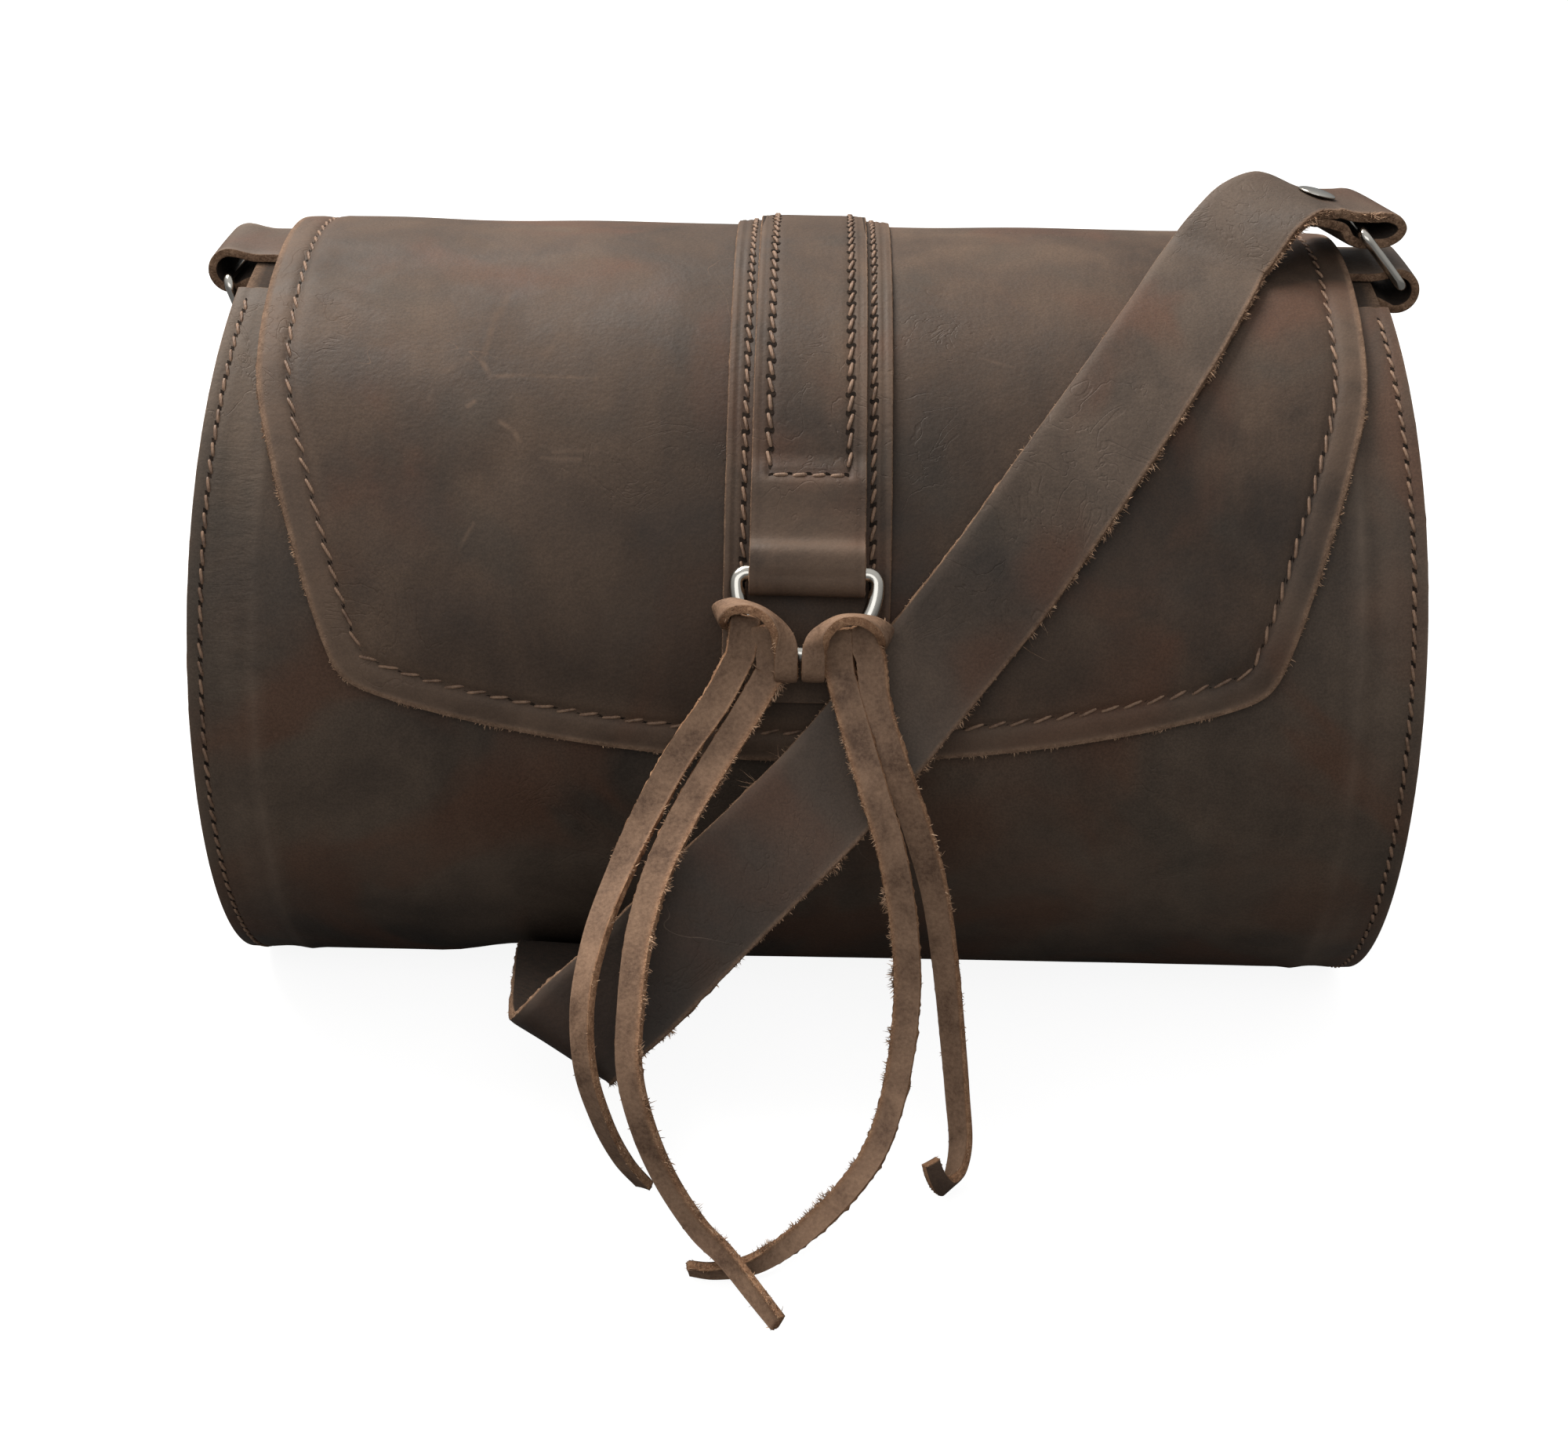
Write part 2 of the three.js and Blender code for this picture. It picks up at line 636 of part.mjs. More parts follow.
// Under the bag and behind it: x, y, height, direction across.
const STRAP_BEHIND = [
  [-54, -80, 26.8, [-1, 0, 0.05]],
  [-54.5, -60, 13.6, [-1, 0, 0]],
  [-54.5, -42, 3.8, [-1, 0, 0]],
  [-54.2, -25, 1.4, [-1, 0, 0]],
  [-54, 0, 1.3, [-1, 0, 0]],
  [-53, 30, 1.45, [-1, 0, 0]],
  [-52, 60, 2.3, [-1, 0, 0]],
  [-51, 105, 5, [-1, 0, -0.1]],
  [-58, 150, 9.6, [-0.75, -0.35, -0.6]],
  [-80, 184, 12.9, [-0.3, -0.2, -0.95]],
  [-105, 192, 13.2, [0, 0, -1]],
  [-130, 182, 12.9, [0.3, -0.2, -0.95]],
  [-149, 150, 9.8, [0.7, -0.3, -0.65]],
  [-153, 110, 5.6, [1, 0, -0.25]],
  [-154, 75, 3.4, [1, 0, 0]],
  [-153, 47, 14, [1, 0, 0]],
  [-153, 29, 40, [1, -0.2, 0]],
  [-150, 18, 75, [0.8, -0.6, 0]],
  [-145, 8, 108, [0.35, -0.93, 0]],
];

// Keys of the whole loop, each with a direction across the strap or out of its face.
function strapKeys() {
  const { pitch } = SIDE_RING;
  const rightBar = onSideRing(SIDE_RINGS.right, pitch);
  const leftBar = onSideRing(SIDE_RINGS.left, pitch);
  const [turnedX, turnedY] = [Math.cos(rad(RIGHT_TURN)), Math.sin(rad(RIGHT_TURN))];
  const right = STRAP_RIGHT_END.map(([x, z]) => ({
    at: rightBar.clone().add(new THREE.Vector3(x * turnedX, x * turnedY, z)),
    across: new THREE.Vector3(-turnedY, turnedX, 0),
  }));
  const arch = STRAP_ARCH.map(([x, y, z, across]) => ({
    at: rightBar.clone().add(new THREE.Vector3(x, y, z)),
    across: vector(across),
  }));
  const over = STRAP_OVER.map(([x, angle, off]) => ({
    at: onBarrel(x, angle, off + (angle > BAND_REACH ? strapOnFlap : strapOnBand)),
    out: onBarrel(0, angle, 1).sub(onBarrel(0, angle, 0)),
  }));
  const front = STRAP_FRONT.map(([x, forward, z, across]) => ({
    at: new THREE.Vector3(x, -BAG.radius - forward, z),
    across: vector(across),
  }));
  const behind = STRAP_BEHIND.map(([x, y, z, across]) => ({
    at: new THREE.Vector3(x, y, z),
    across: vector(across),
  }));
  const left = STRAP_LEFT_END.map(([x, z]) => ({
    at: leftBar.clone().add(new THREE.Vector3(-x, 0, z)),
    across: new THREE.Vector3(0, -1, 0),
  }));
  return [...right, ...arch, ...over, ...front, ...behind, ...left];
}

function strapLine() {
  const keys = strapKeys();
  const curve = new THREE.CatmullRomCurve3(keys.map((key) => key.at), false, "centripetal");
  const sides = keys.map(({ across, out }, i) => {
    if (across) return across;
    const along = curve.getTangent(i / (keys.length - 1));
    return new THREE.Vector3().crossVectors(along, out).normalize();
  });
  const sideCurve = new THREE.CatmullRomCurve3(sides, false, "centripetal");
  const places = steps(0, 1, 1 / (keys.length * 3));
  return { points: places.map((t) => curve.getPoint(t)), sides: places.map((t) => sideCurve.getPoint(t)) };
}

// The rivets' places, from the strap's bars, with the direction of their shanks.
const RIVETS = {
  right: { ring: "right", turn: RIGHT_TURN, from: [-10.5, 3.12], shank: [0.25, 0.968] },
  left: { ring: "left", turn: 0, from: [0, -14.2], shank: [1, 0] },
};

function rivetAxis(which) {
  const { ring, turn, from, shank } = RIVETS[which];
  const { side } = SIDE_RINGS[ring];
  const place = onSideRing(SIDE_RINGS[ring], SIDE_RING.pitch);
  const fromBar = ([x, z]) => new THREE.Vector3(side * x * Math.cos(rad(turn)), x * Math.sin(rad(turn)), z);
  return { middle: place.add(fromBar(from)), along: fromBar(shank).normalize() };
}

function shoulderStrap() {
  const { points, sides } = strapLine();
  const holes = Object.keys(RIVETS).map((which) => {
    const { middle, along } = rivetAxis(which);
    const reach = STRAP.wall * 2;
    const from = middle.clone().addScaledVector(along, -reach);
    const to = middle.clone().addScaledVector(along, reach);
    return bar(from, to, STRAP.rivetHole, RIVET.facets);
  });
  return without(strip(points, sides, STRAP.width, STRAP.wall), ...holes);
}

// A shank with a low domed cap at each end.
function rivet(which) {
  const { middle, along } = rivetAxis(which);
  const reach = STRAP.wall + CLEAR * 3;
  const profile = [
    new THREE.Vector2(0, -reach - RIVET.capHeight),
    new THREE.Vector2(RIVET.backCap * 0.6, -reach - RIVET.capHeight * 0.8),
    new THREE.Vector2(RIVET.backCap, -reach - RIVET.dome * 0.4),
    new THREE.Vector2(RIVET.backCap, -reach),
    new THREE.Vector2(RIVET.shank, -reach),
    new THREE.Vector2(RIVET.shank, reach),
    new THREE.Vector2(RIVET.cap, reach),
    new THREE.Vector2(RIVET.cap, reach + RIVET.dome * 0.4),
    new THREE.Vector2(RIVET.cap * 0.6, reach + RIVET.capHeight * 0.8),
    new THREE.Vector2(0, reach + RIVET.capHeight),
  ];
  const geometry = new THREE.LatheGeometry(profile, RIVET.facets);
  geometry.applyQuaternion(new THREE.Quaternion().setFromUnitVectors(new THREE.Vector3(0, 1, 0), along));
  return geometry.translate(middle.x, middle.y, middle.z);
}

// The assembly
const bag = new THREE.Group();

function add(name, geometry, color, metalness = 0, roughness = 0.75) {
  const mesh = new THREE.Mesh(geometry, new THREE.MeshStandardMaterial({ color, metalness, roughness }));
  mesh.name = name;
  bag.add(mesh);
}

const addLeather = (name, geometry, color) => add(name, geometry, color);
const addNickel = (name, geometry) => add(name, geometry, COLOURS.nickel, 1, 0.2);

addLeather("body_panel", bodyPanel(), COLOURS.leather);
addLeather("end_panel_left", endPanel(-1), COLOURS.leather);
addLeather("end_panel_right", endPanel(1), COLOURS.leather);
addLeather("flap", flap(), COLOURS.flap);
addLeather("flap_band", flapBand(), COLOURS.flap);
addLeather("flap_tab", flapTab(), COLOURS.flap);
addNickel("flap_ring", flapRing());
addLeather("lace_left_knot", laceKnot(KNOT_ANGLES.left), COLOURS.lace);
addLeather("lace_right_knot", laceKnot(KNOT_ANGLES.right), COLOURS.lace);
for (const [name, lace] of Object.entries(LACES)) addLeather(name, laceStrand(lace), COLOURS.lace);
addLeather("end_tab_left", endTab(-1), COLOURS.leather);
addLeather("end_tab_right", endTab(1), COLOURS.leather);
addNickel("side_ring_left", sideRing(SIDE_RINGS.left));
addNickel("side_ring_right", sideRing(SIDE_RINGS.right));
addLeather("shoulder_strap", shoulderStrap(), COLOURS.strap);
addNickel("strap_rivet_left", rivet("left"));
addNickel("strap_rivet_right", rivet("right"));

export default bag;
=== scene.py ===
import math

import bpy
import numpy as np
from mathutils import Matrix, Vector


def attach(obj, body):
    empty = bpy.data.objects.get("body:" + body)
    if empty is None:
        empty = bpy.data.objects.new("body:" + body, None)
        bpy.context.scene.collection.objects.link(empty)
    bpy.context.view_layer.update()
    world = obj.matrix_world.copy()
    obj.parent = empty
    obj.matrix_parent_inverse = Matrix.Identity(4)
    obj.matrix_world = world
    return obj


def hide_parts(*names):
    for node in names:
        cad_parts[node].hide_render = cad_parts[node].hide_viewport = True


# Sizes are in millimetres, as in the part's source, and meshes are made in metres.
MM = 0.001
CLEAR = 0.3

HALF_WIDTH = 137.5
RADIUS = 91.0
WALL = 2.0
LIP = 72.0
BACK = 115.0
RIM_PULL = 5.0
RIM_PULL_SPREAD = 48.0
BASE_HALF_DEPTH = 20.0
BASE_ROLL = 50.0
ROLL_REACH = RADIUS - BASE_ROLL
AXIS_HEIGHT = BASE_ROLL + math.sqrt(ROLL_REACH**2 - BASE_HALF_DEPTH**2)
ROLL_START_SINE = (AXIS_HEIGHT - BASE_ROLL) / ROLL_REACH

STRAP_WIDTH = 25.0
STRAP_WALL = 2.4
STRAP_LIFT = STRAP_WALL + CLEAR + 0.1
CROSSING_X = -54.0
CROSSING_FLAT = 14.5
CROSSING_ALL = 36.0
CROSSING_FADE = 14.0

END_INSET = 14.6
END_WALL = 2.0
END_BEND = 3.0
END_EDGE_STEP = 0.8
FLANGE_RADIUS = RADIUS - WALL - CLEAR

FLAP_WALL = 2.2
FLAP_HALF_WIDTH = 125.5
FLAP_LOW = -1.0
FLAP_BACK = 130.0
FLAP_EDGE_RISE = 0.00148
FLAP_SIDE_X = 107.5
FLAP_SIDE_UP = 26.0
FLAP_SIDE_SLOPE = 3.3
FLAP_CORNER = 9.0
FLAP_INNER = RADIUS + CLEAR
FLAP_OUTER = FLAP_INNER + FLAP_WALL
FLAP_SEAM = 7.0
FLAP_SEAM_STOP = 4.0
FLAP_PITCH = 5.0

BAND_WIDTH = 36.5
BAND_WALL = 1.5
BAND_LOW = 8.0
BAND_INNER = FLAP_OUTER + CLEAR
BAND_OUTER = BAND_INNER + BAND_WALL
BAND_SEAM = 14.2
BAND_PITCH = 4.1

TAB_WIDTH = 25.0
TAB_WALL = 1.6
TAB_UNDER_END = 36.5
TAB_DROP = 1.2
TAB_LOW = BAND_OUTER + CLEAR + TAB_WALL / 2
TAB_SEAM = 8.9
TAB_SEAM_END = 37.8
TAB_PITCH = 4.5

RING_WIRE = 3.6
RING_HALF = 15.2
RING_CORNER = 2.2
RING_ANGLE = 25.0
RING_LEAN = 3.0
RING_RADIUS = TAB_LOW + TAB_WALL / 2 + CLEAR + RING_WIRE / 2

LACE_WIDTH = 7.0
LACE_WALL = 2.2

SIDE_WIRE = 2.5
SIDE_MID_WIRE = 2.0
SIDE_GAP = 28.6
SIDE_PITCH = 16.5
SIDE_CORNER = 2.6

TAB_END_WIDTH = 25.0
TAB_END_WALL = 1.9
TAB_END_INNER = 21.5
TAB_END_UNDER = 10.8
LOOP_OUT = 0.7
LOOP_DROP = 4.8
LOOP_RADIUS = 4.35
LOOP_SAG = 0.2
LOOP_X = HALF_WIDTH + LOOP_OUT
LOOP_Z = AXIS_HEIGHT + RADIUS - LOOP_DROP

RIM_SEAM = 3.0
RIM_PITCH = 4.1

# The camera: where it looks from, its tilt, its roll and where the barrel's middle falls.
CAMERA_DISTANCE = 671.8
CAMERA_TILT = 22.0
CAMERA_ROLL = 1.09
CAMERA_AXIS_HEIGHT = 85.9
CAMERA_FOCUS = 3358.0
PICTURE = (2000.0, 1831.0)
MIDDLE_AT = (1029.1, 762.2)
SENSOR = 36.0

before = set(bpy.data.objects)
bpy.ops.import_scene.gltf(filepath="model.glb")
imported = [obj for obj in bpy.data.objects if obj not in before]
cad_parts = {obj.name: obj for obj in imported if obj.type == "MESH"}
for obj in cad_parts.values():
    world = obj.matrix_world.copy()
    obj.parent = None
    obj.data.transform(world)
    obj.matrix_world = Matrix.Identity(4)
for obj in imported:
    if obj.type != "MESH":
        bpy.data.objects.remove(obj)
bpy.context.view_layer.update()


# Numbers and points

def rad(angle):
    return np.radians(angle)


def vec(*numbers):
    return np.array(numbers, float)


def unit(v):
    v = np.asarray(v, float)
    return v / np.maximum(np.linalg.norm(v, axis=-1, keepdims=True), 1e-9)


def spaced(low, high, size):
    count = max(1, math.ceil(abs(high - low) / size))
    return np.linspace(low, high, count + 1)


def smoothstep(x, low, high):
    t = np.clip((np.asarray(x, float) - low) / (high - low), 0, 1)
    return t * t * (3 - 2 * t)


def bell(x, width):
    return np.exp(-((np.asarray(x, float) / width) ** 2))


def soft_min(a, b, round_off):
    return (a + b - np.sqrt((a - b) ** 2 + round_off**2)) / 2


def waves(points, length, seed, count=7):
    """Smooth uneven waves through space, between about -1 and 1."""
    chance = np.random.RandomState(seed)
    total = np.zeros(np.shape(points)[:-1])
    for _ in range(count):
        turn = unit(chance.normal(size=3)) * (2 * math.pi / length) * chance.uniform(0.6, 1.5)
        total += np.sin(points @ turn + chance.uniform(0, 2 * math.pi))
    return total / math.sqrt(count) / 1.4


def uneven_by(points, rows):
    """Waves added up: the height, length and seed of each."""
    return sum(height * waves(points, length, seed) for height, length, seed in rows)


def arc(u, v, radius, low, high, count):
    angles = rad(np.linspace(low, high, count + 1))
    return [(u + radius * math.cos(a), v + radius * math.sin(a)) for a in angles]


def spline(keys, count):
    """A centripetal spline through the keys, at even steps of its parameter."""
    keys = np.asarray(keys, float)
    last = len(keys) - 1
    line = np.vstack([2 * keys[0] - keys[1], keys, 2 * keys[-1] - keys[-2]])
    place = np.linspace(0, last, count)
    start = np.minimum(place.astype(int), last - 1)
    t = (place - start)[:, None]
    p0, p1, p2, p3 = (line[start + k] for k in range(4))
    d0, d1, d2 = (
        np.sqrt(np.linalg.norm(b - a, axis=1, keepdims=True))
        for a, b in ((p0, p1), (p1, p2), (p2, p3))
    )
    d1 = np.where(d1 < 1e-4, 1.0, d1)
    d0 = np.where(d0 < 1e-4, d1, d0)
    d2 = np.where(d2 < 1e-4, d1, d2)
    m1 = ((p1 - p0) / d0 - (p2 - p0) / (d0 + d1) + (p2 - p1) / d1) * d1
    m2 = ((p2 - p1) / d1 - (p3 - p1) / (d1 + d2) + (p3 - p2) / d2) * d1
    c2 = -3 * p1 + 3 * p2 - 2 * m1 - m2
    c3 = 2 * p1 - 2 * p2 + m1 + m2
    return p1 + m1 * t + c2 * t**2 + c3 * t**3


def lengths_along(points):
    steps = np.linalg.norm(np.diff(points, axis=0), axis=1)
    return np.concatenate([[0], np.cumsum(steps)])


def resampled(points, step):
    """Points and directions at even distances along a line of points."""
    along = lengths_along(points)
    places = np.linspace(0, along[-1], max(2, round(along[-1] / step) + 1))
    line = np.stack([np.interp(places, along, points[:, k]) for k in range(points.shape[1])], 1)
    return line, unit(np.gradient(line, axis=0)), places


def on_barrel(x, angle, radius):
    x, angle, radius = np.broadcast_arrays(x, angle, radius)
    a = rad(angle)
    return np.stack([x + 0.0, -radius * np.cos(a), AXIS_HEIGHT + radius * np.sin(a)], -1)


def outwards_at(angle):
    return on_barrel(0, angle, 1) - on_barrel(0, angle, 0)


def on_hull(x, angle, depth):
    """A point under the body's outer face. The angle runs from -90 in front to 270 behind."""
    x, angle, depth = np.broadcast_arrays(x, angle, depth)
    a = rad(angle)
    round_part = on_barrel(x, angle, RADIUS - depth)
    middle = np.where(angle > 90, BASE_HALF_DEPTH, -BASE_HALF_DEPTH)
    radius = BASE_ROLL - depth
    rolled = np.stack([x + 0.0, middle - radius * np.cos(a), BASE_ROLL + radius * np.sin(a)], -1)
    return np.where((-np.sin(a) < ROLL_START_SINE)[..., None], round_part, rolled)


def rim_at(angle):
    return HALF_WIDTH - RIM_PULL * np.exp(-(((angle - 90) / RIM_PULL_SPREAD) ** 2))


def lift_at(x, z):
    across = 1 - smoothstep(np.abs(x - CROSSING_X), CROSSING_FLAT, CROSSING_ALL)
    upwards = 1 - smoothstep(z, CROSSING_FADE / 4, CROSSING_FADE * 2)
    return STRAP_LIFT * across * upwards


# Meshes

def piece(name, points, faces, material, slot, values=None, uv=None, smooth=True):
    """A mesh object that rides on the bag. `values` are numbers for each point, by name."""
    mesh = bpy.data.meshes.new(name)
    mesh.from_pydata((np.asarray(points) * MM).tolist(), [], [tuple(map(int, f)) for f in faces])
    mesh.polygons.foreach_set("use_smooth", [smooth] * len(mesh.polygons))
    for key, numbers in (values or {}).items():
        attribute = mesh.attributes.new(key, "FLOAT", "POINT")
        attribute.data.foreach_set("value", np.asarray(numbers, np.float32))
    if uv is not None:
        corner = np.empty(len(mesh.loops), np.int32)
        mesh.loops.foreach_get("vertex_index", corner)
        layer = mesh.uv_layers.new(name="surface")
        layer.data.foreach_set("uv", (np.asarray(uv) * MM)[corner].ravel().astype(np.float32))
    mesh.materials.append(material)
    thing = bpy.data.objects.new(name, mesh)
    bpy.context.scene.collection.objects.link(thing)
    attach(thing, "root")
    return thing


def facing_out(points, faces):
    """The faces, turned over if their body is inside out."""
    fans = np.array([(f[0], f[i], f[i + 1]) for f in faces for i in range(1, len(f) - 1)])
    a, b, c = points[fans[:, 0]], points[fans[:, 1]], points[fans[:, 2]]
    volume = (a * np.cross(b, c)).sum()
    return faces if volume > 0 else [tuple(f)[::-1] for f in faces]


# How the cut edge of a wall goes over from one face to the other: share of the wall, bulge.
CUT_EDGE = ((0.08, 0.04), (0.3, 0.12), (0.5, 0.14), (0.7, 0.12), (0.92, 0.04))
# How raw the two faces' last rows look, outside and inside, and how ragged the edge is.
RAW_OUTSIDE = 0.35
RAW_INSIDE = 0.6
RAGGED = 4


def wall(outer, inner, uv, fluff, seed):
    """A closed wall between two grids of points, with a cut edge all round."""
    n, m = outer.shape[:2]
    index = np.arange(n * m).reshape(n, m)
    border = np.concatenate(
        [index[0], index[1:, -1], index[-1, -2::-1], index[-2:0:-1, 0]]
    )
    i, j = border // m, border % m
    inside = np.clip(i, 1, n - 2), np.clip(j, 1, m - 2)
    away = unit(outer[i, j] - outer[inside])
    chance = np.random.RandomState(seed)
    points = [outer.reshape(-1, 3), inner.reshape(-1, 3)]
    loops = []
    for share, bulge in CUT_EDGE:
        ragged = chance.normal(scale=fluff, size=(len(border), 1))
        row = outer[i, j] * (1 - share) + inner[i, j] * share + away * (bulge + ragged * bulge * RAGGED)
        loops.append(sum(map(len, points)) + np.arange(len(border)))
        points.append(row)
    a, b, c, d = index[:-1, :-1], index[1:, :-1], index[1:, 1:], index[:-1, 1:]
    quads = np.stack([a, b, c, d], -1).reshape(-1, 4)
    faces = [*quads, *(quads[:, ::-1] + n * m)]
    rows = [border, *loops, border + n * m]
    for upper, lower in zip(rows, rows[1:]):
        faces += list(np.stack([upper, np.roll(upper, -1), np.roll(lower, -1), lower], -1))
    points = np.vstack(points)
    raw = np.zeros(len(points))
    raw[2 * n * m:] = 1
    raw[border] = RAW_OUTSIDE
    raw[border + n * m] = RAW_INSIDE
    flesh = np.zeros(len(points))
    flesh[n * m: 2 * n * m] = 1
    flat = uv.reshape(-1, 2)
    uv = np.vstack([flat, flat] + [flat[border]] * len(CUT_EDGE))
    return points, facing_out(points, faces), {"raw": raw, "flesh": flesh}, uv


def for_both_faces(values, count):
    """Numbers for a wall's points, from numbers for its outer face, and none on its edge."""
    full = np.zeros(count)
    full[: 2 * values.size] = np.tile(values.reshape(-1), 2)
    return full


def wall_piece(name, outer, inner, material, slot, wear_and_highlight, uv, fluff, seed, rim=None, darkening=None):
    """A wall as a mesh object, with numbers for its material: wear with some painted highlights, raw rim, and
    darkening, which on the strap is painted shade and oil.
    """
    points, faces, values, uv = wall(outer, inner, uv, fluff, seed)
    if darkening is not None:
        values["darkening"] = for_both_faces(darkening, len(points))
    if rim is not None:
        values["raw"][: rim.size] = np.maximum(values["raw"][: rim.size], rim.reshape(-1))
    values["wear_and_highlight"] = for_both_faces(wear_and_highlight, len(points))
    return piece(name, points, faces, material, slot, values, uv)


def directions(points):
    return unit(np.gradient(points, axis=0))


# Where the points of a strip's cross-section lie, as shares of its width from its middle.
ACROSS = (-0.5, -0.488, -0.46, -0.41, -0.33, -0.22, -0.11, 0, 0.11, 0.22, 0.33, 0.41, 0.46, 0.488, 0.5)
STRIP_WAVE = 22.0
STRIP_EDGE_DROP = 0.22
STRIP_EDGE_WIDTH = 0.03
STRIP_WEAR_WIDTH = 0.07


def squared(sides, along):
    """Directions across a line, turned square to it."""
    return unit(sides - along * (sides * along).sum(1, keepdims=True))


def strip_faces(points, sides, width, thickness, crown, uneven, seed):
    """The two faces of a strip along a line, with a direction across it at each point."""
    along = directions(points)
    sides = squared(sides, along)
    up = np.cross(along, sides)
    shares = np.array(ACROSS)
    middle = points[:, None, :] + shares[None, :, None] * width * sides[:, None, :]
    lift = crown * (1 - (2 * shares) ** 2)[None, :] + uneven * waves(middle, STRIP_WAVE, seed)
    rounded = -STRIP_EDGE_DROP * bell(0.5 - np.abs(shares), STRIP_EDGE_WIDTH)[None, :]
    outer = middle + up[:, None, :] * (thickness / 2 + lift + rounded)[..., None]
    inner = middle + up[:, None, :] * (-thickness / 2 + lift)[..., None]
    return outer, inner, up


def strip_uv(points):
    along = lengths_along(points)
    return np.stack(np.broadcast_arrays(along[:, None], np.array(ACROSS)[None, :] * STRAP_WIDTH), -1)


def rim_of(count, column, width, strength):
    """A raw rim along one side of a strip, its width as a share of the strip's."""
    side = -0.5 if column == 0 else 0.5
    return np.tile(strength * bell(np.array(ACROSS) - side, width), (count, 1))


def edge_wear(count, strength):
    shares = np.array(ACROSS)
    return np.tile(strength * bell(0.5 - np.abs(shares), STRIP_WEAR_WIDTH), (count, 1))


def tube(points, radius, facets, normal, closed=True):
    """Rings of points round a line that lies in one plane."""
    points = np.asarray(points, float)
    if closed:
        along = unit(np.roll(points, -1, 0) - np.roll(points, 1, 0))
    else:
        along = directions(points)
    side = unit(np.cross(along, normal))
    turns = rad(np.arange(facets) * 360 / facets)
    ring = (
        side[:, None, :] * np.cos(turns)[None, :, None]
        + np.asarray(normal)[None, None, :] * np.sin(turns)[None, :, None]
    )
    return points[:, None, :] + ring * radius


def ring_faces(rows, count, closed=True):
    """Faces between rings of points that follow one another."""
    faces = []
    for i in range(rows if closed else rows - 1):
        here = i * count
        following = (i + 1) % rows * count
        for j in range(count):
            k = (j + 1) % count
            faces.append((here + j, here + k, following + k, following + j))
    return faces


def closed_tube(rings, closed=True):
    rows, count = rings.shape[:2]
    points = rings.reshape(-1, 3)
    faces = ring_faces(rows, count, closed)
    if not closed:
        faces.append(tuple(range(count))[::-1])
        faces.append(tuple(range((rows - 1) * count, rows * count)))
    return points, facing_out(points, faces)


# Materials

SMOOTH = "SMOOTHSTEP"


class Shader:
    """A material whose nodes are added one at a time."""

    def __init__(self, name):
        self.material = bpy.data.materials.new(name)
        self.material.use_nodes = True
        self.tree = self.material.node_tree
        self.main = self.tree.nodes["Principled BSDF"]
        self.place = self.node("ShaderNodeTexCoord").outputs["Object"]

    def node(self, kind, inputs=None, **settings):
        made = self.tree.nodes.new(kind)
        for key, value in settings.items():
            setattr(made, key, value)
        for key, value in (inputs or {}).items():
            self.put(made, key, value)
        return made

    def put(self, node, key, value):
        if isinstance(value, bpy.types.NodeSocket):
            self.tree.links.new(value, node.inputs[key])
        else:
            node.inputs[key].default_value = value

    def set(self, **values):
        for key, value in values.items():
            socket = " ".join(word[0].upper() + word[1:] for word in key.split("_"))
            self.put(self.main, socket, value)

    def moved(self, shift=(0, 0, 0), scale=(1, 1, 1), of=None):
        inputs = {"Vector": of or self.place, "Location": shift, "Scale": scale}
        return self.node("ShaderNodeMapping", inputs).outputs[0]

    def noise(self, scale, detail=4.0, rough=0.55, bend=0.0, at=None):
        inputs = {"Vector": at or self.place, "Scale": scale, "Detail": detail}
        inputs.update({"Roughness": rough, "Distortion": bend})
        return self.node("ShaderNodeTexNoise", inputs).outputs[0]

    def cells(self, scale, feature="F1", at=None):
        inputs = {"Vector": at or self.place, "Scale": scale}
        return self.node("ShaderNodeTexVoronoi", inputs, feature=feature).outputs["Distance"]

    def fit(self, value, low, high, to_low=0.0, to_high=1.0):
        inputs = {"Value": value, "From Min": low, "From Max": high, "To Min": to_low, "To Max": to_high}
        return self.node("ShaderNodeMapRange", inputs, interpolation_type=SMOOTH).outputs[0]

    def math(self, operation, a, b=0.0):
        return self.node("ShaderNodeMath", {0: a, 1: b}, operation=operation).outputs[0]

    def times(self, a, b):
        return self.math("MULTIPLY", a, b)

    def most(self, a, b):
        return self.math("MAXIMUM", a, b)

    def off_middle(self, value):
        """How far a noise is from its middle value."""
        return self.math("ABSOLUTE", self.math("SUBTRACT", value, 0.5))

    def blend(self, *parts):
        """A sum of values, each times its share."""
        scaled = [self.times(value, share) for value, share in parts]
        total = scaled[0]
        for value in scaled[1:]:
            total = self.math("ADD", total, value)
        return total

    def mix(self, share, a, b, blend="MIX"):
        inputs = {"Factor": share, 6: a, 7: b}
        return self.node("ShaderNodeMix", inputs, data_type="RGBA", blend_type=blend).outputs[2]

    def ramp(self, value, *stops):
        made = self.node("ShaderNodeValToRGB", {"Fac": value})
        points = made.color_ramp.elements
        for _ in stops[2:]:
            points.new(0.5)
        for point, (place, colour) in zip(points, stops):
            point.position = place
            point.color = (*colour, 1)
        return made.outputs[0]

    def value(self, name):
        return self.node("ShaderNodeAttribute", attribute_name=name).outputs["Fac"]

    def bump(self, height, strength, distance, under=None):
        inputs = {"Height": height, "Strength": strength, "Distance": distance * MM}
        if under:
            inputs["Normal"] = under
        return self.node("ShaderNodeBump", inputs).outputs[0]


